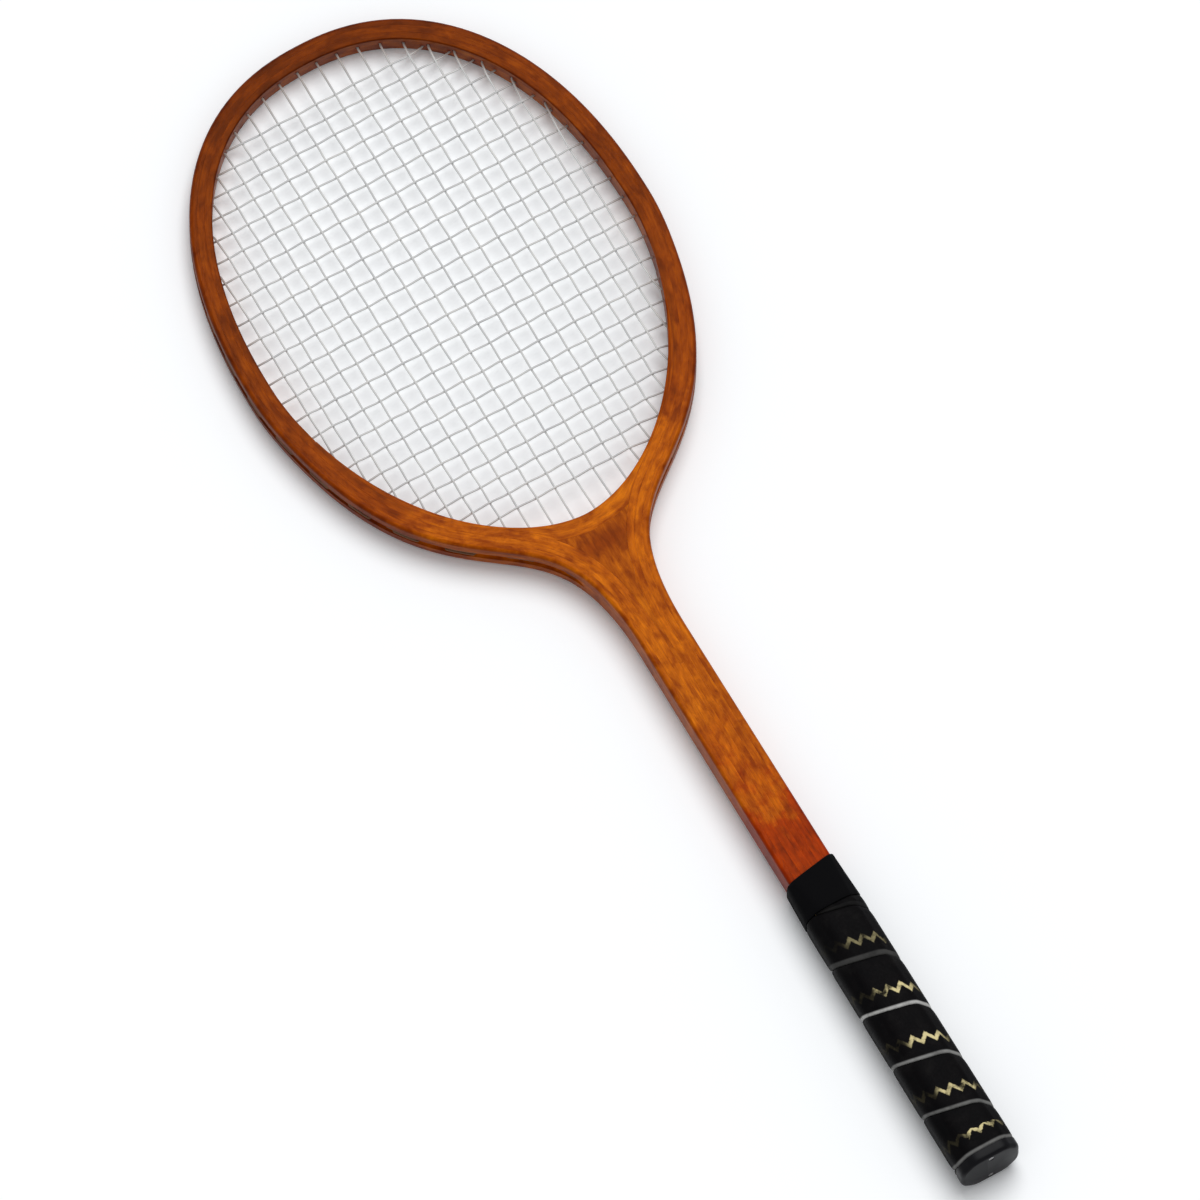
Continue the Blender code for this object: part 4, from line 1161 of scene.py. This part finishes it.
laid = add_node(tree, "ShaderNodeUVMap", uv_map="grain")
split = add_node(tree, "ShaderNodeSeparateXYZ")
link(laid.outputs[0], split.inputs[0])
length_along, width_across = split.outputs["X"], split.outputs["Y"]
place = object_place(tree)
spot = add_node(tree, "ShaderNodeSeparateXYZ")
link(place, spot.inputs[0])
grain_cells = add_node(tree, "ShaderNodeTexVoronoi", Scale=1100.0)
link(place, grain_cells.inputs["Vector"])
rubbing = noise_on(tree, place, Scale=130.0, Detail=4.0, Roughness=0.65)
fine = noise_on(tree, place, Scale=900.0, Detail=3.0)
height_up = spot.outputs["Y"]

# Heights on the front of the grip between which one look gives way to the next.
THIRD_TURN = (0.045, 0.048)
SECOND_TURN = (0.074, 0.078)
UPPER_TURN = (0.105, 0.108)
TOP_ZIGZAG = (0.122, 0.126)
UNDER_COLLAR = (0.136, 0.141)

# Gilt zigzag: 6.6 mm from tooth to tooth and 4 mm high. It is painted only near the middle of the front and
# back faces, where the gilt glints: a painted glint, patchy where rubbed.
ZIGZAG_HALF_STEP = 0.0033
ZIGZAG_STEEPNESS = 1.20
ZIGZAG_FOOT = 0.0086
ZIGZAG_GLINT_AT = 0.0036
wave = maths("PINGPONG", length_along, ZIGZAG_HALF_STEP)
wave = maths("MULTIPLY_ADD", wave, ZIGZAG_STEEPNESS, ZIGZAG_FOOT)
off_line = maths("ABSOLUTE", maths("SUBTRACT", width_across, wave))
off_line = maths("MULTIPLY_ADD", maths("SUBTRACT", fine, 0.5), 0.0012, off_line)
line = maths("SUBTRACT", 1.0, fade(off_line, 0.0009, 0.0018))
# Painted glint: the gilt shows only in a band near the middle of the front and back faces.
gilt_glint_band = maths("ABSOLUTE", maths("SUBTRACT", spot.outputs["X"], ZIGZAG_GLINT_AT))
gilt_glint_band = maths("SUBTRACT", 1.0, fade(gilt_glint_band, 0.0060, 0.0115))
patchy = fade(rubbing, 0.34, 0.60)
gilt = maths("MULTIPLY", line, maths("MULTIPLY", maths("MULTIPLY_ADD", gilt_glint_band, 0.97, 0.03), patchy))
top_turn = fade(height_up, *TOP_ZIGZAG)
gilt = maths("MULTIPLY", gilt, maths("MULTIPLY_ADD", top_turn, -0.62, 0.92))

# Skived edge at the lower side of each turn: a pale band, partly worn leather and partly a painted
# highlight of the edge's shine. It is brightest on the second turn from the top and less so on the others,
# and the top turn has a wider and darker band.
edge_band = maths("SUBTRACT", 1.0, fade(width_across, 0.0011, 0.0022))
wide_band = maths("SUBTRACT", 1.0, fade(width_across, 0.0022, 0.0032))
wear_and_highlight_patches = maths("MULTIPLY_ADD", fade(rubbing, 0.30, 0.58), 0.45, 0.55)
upper_turn = fade(height_up, *UPPER_TURN)
second_turn = maths("SUBTRACT", fade(height_up, *SECOND_TURN), upper_turn)
third_turn = maths("MULTIPLY", fade(height_up, *THIRD_TURN), 0.16)
bright = maths("ADD", maths("MULTIPLY_ADD", second_turn, 0.52, 0.32), third_turn)
pale = maths("MULTIPLY", maths("MULTIPLY", edge_band, wear_and_highlight_patches), bright)
under_collar = fade(height_up, *UNDER_COLLAR)
dull = maths("MULTIPLY", upper_turn, maths("MULTIPLY_ADD", under_collar, -0.075, 0.09))
dull = maths("MULTIPLY", maths("MULTIPLY", wide_band, wear_and_highlight_patches), dull)
pale = maths("ADD", maths("MULTIPLY", pale, maths("SUBTRACT", 1.0, upper_turn)), dull)

hide = ramp(tree, ((0.30, paint(1, 1, 2)), (0.55, paint(4, 3, 4)), (0.80, paint(17, 16, 16))))
link(rubbing, hide.inputs["Fac"])
colour = hide.outputs["Color"]
# Paints the pale edges, partly a painted highlight, and the gilt over the leather.
for share, coat in ((pale, paint(186, 186, 184)), (gilt, paint(226, 212, 158))):
    cover = add_node(tree, "ShaderNodeMix", data_type="RGBA")
    link(share, cover.inputs[0])
    link(colour, cover.inputs[6])
    cover.inputs[7].default_value = coat
    colour = cover.outputs[2]
link(colour, shader.inputs["Base Color"])
roughen(tree, shader, fine, 0.42, 0.68)
raise_by(tree, shader, maths("MULTIPLY_ADD", gilt, -0.6, grain_cells.outputs["Distance"]), 0.25, 0.0002)
new_piece(leather_strip, "grip_strip_leather", leather, "leather", "grip_strip")

# Collar: a tapered sleeve of matt black tape, which covers the top of the leather and the thin
# ends of the pallets and closes on the shaft.
COLLAR_WALL = 0.0008
COLLAR_SHAFT_WALL = 0.0017
COLLAR_CORNER_CUT = 0.0036
COLLAR_SLANT = 0.16
COLLAR_SLANT_REACH = 0.010


def collar_section(height):
    """Outside of the collar, from the grip's size down to the shaft's."""
    half_width = SHAFT_HALF_WIDTH + COLLAR_SHAFT_WALL
    half_depth = SHAFT_HALF_THICKNESS + COLLAR_SHAFT_WALL
    low = np.array(grip_section(GRIP_TOP))
    high = np.array([half_width, half_depth, COLLAR_CORNER_CUT])
    return tuple(low + part_way(height, GRIP_TOP, COLLAR_TOP) * (high - low))


def collar_ring(height, inset):
    return height, octagon_ring(shrunk(collar_section(height), inset))


collar_layers = [collar_ring(GRIP_TOP, 0.0003), collar_ring(GRIP_TOP + 0.0004, 0.0)]
for height in np.linspace(GRIP_TOP + 0.003, COLLAR_TOP - 0.0005, 8):
    collar_layers.append(collar_ring(height, 0.0))
collar_layers += [collar_ring(COLLAR_TOP, 0.0004), collar_ring(COLLAR_TOP, COLLAR_WALL)]
collar_layers.append(collar_ring(GRIP_TOP, STRIP_THICKNESS))
sleeve = layered_ring(collar_layers, True)
for vert in sleeve.verts:
    share = part_way(vert.co.y, COLLAR_TOP - COLLAR_SLANT_REACH, COLLAR_TOP)
    vert.co.y += share * COLLAR_SLANT * vert.co.x
tape = black_plastic("matt black tape", paint(3, 3, 4), 0.04, 0.62, 0.85, 700.0)
new_piece(sleeve, "grip_collar_tape", tape, "tape", "grip_collar")

# Nails and tack: two steel nails hold the butt cap on the pallets, and a steel tack holds the
# upper end of the leather on the back of the handle.
steel, tree, shader = new_material("plain steel")
shader.inputs["Metallic"].default_value = 1.0
spots = noise_on(tree, object_place(tree), Scale=1200.0, Detail=4.0, Roughness=0.6)
tone_by(tree, shader, spots, ((0.30, paint(128, 122, 116)), (0.60, paint(176, 176, 178))))
roughen(tree, shader, spots, 0.25, 0.55)
show_in(steel, "front_butt_nail", "back_butt_nail", "grip_end_tack")
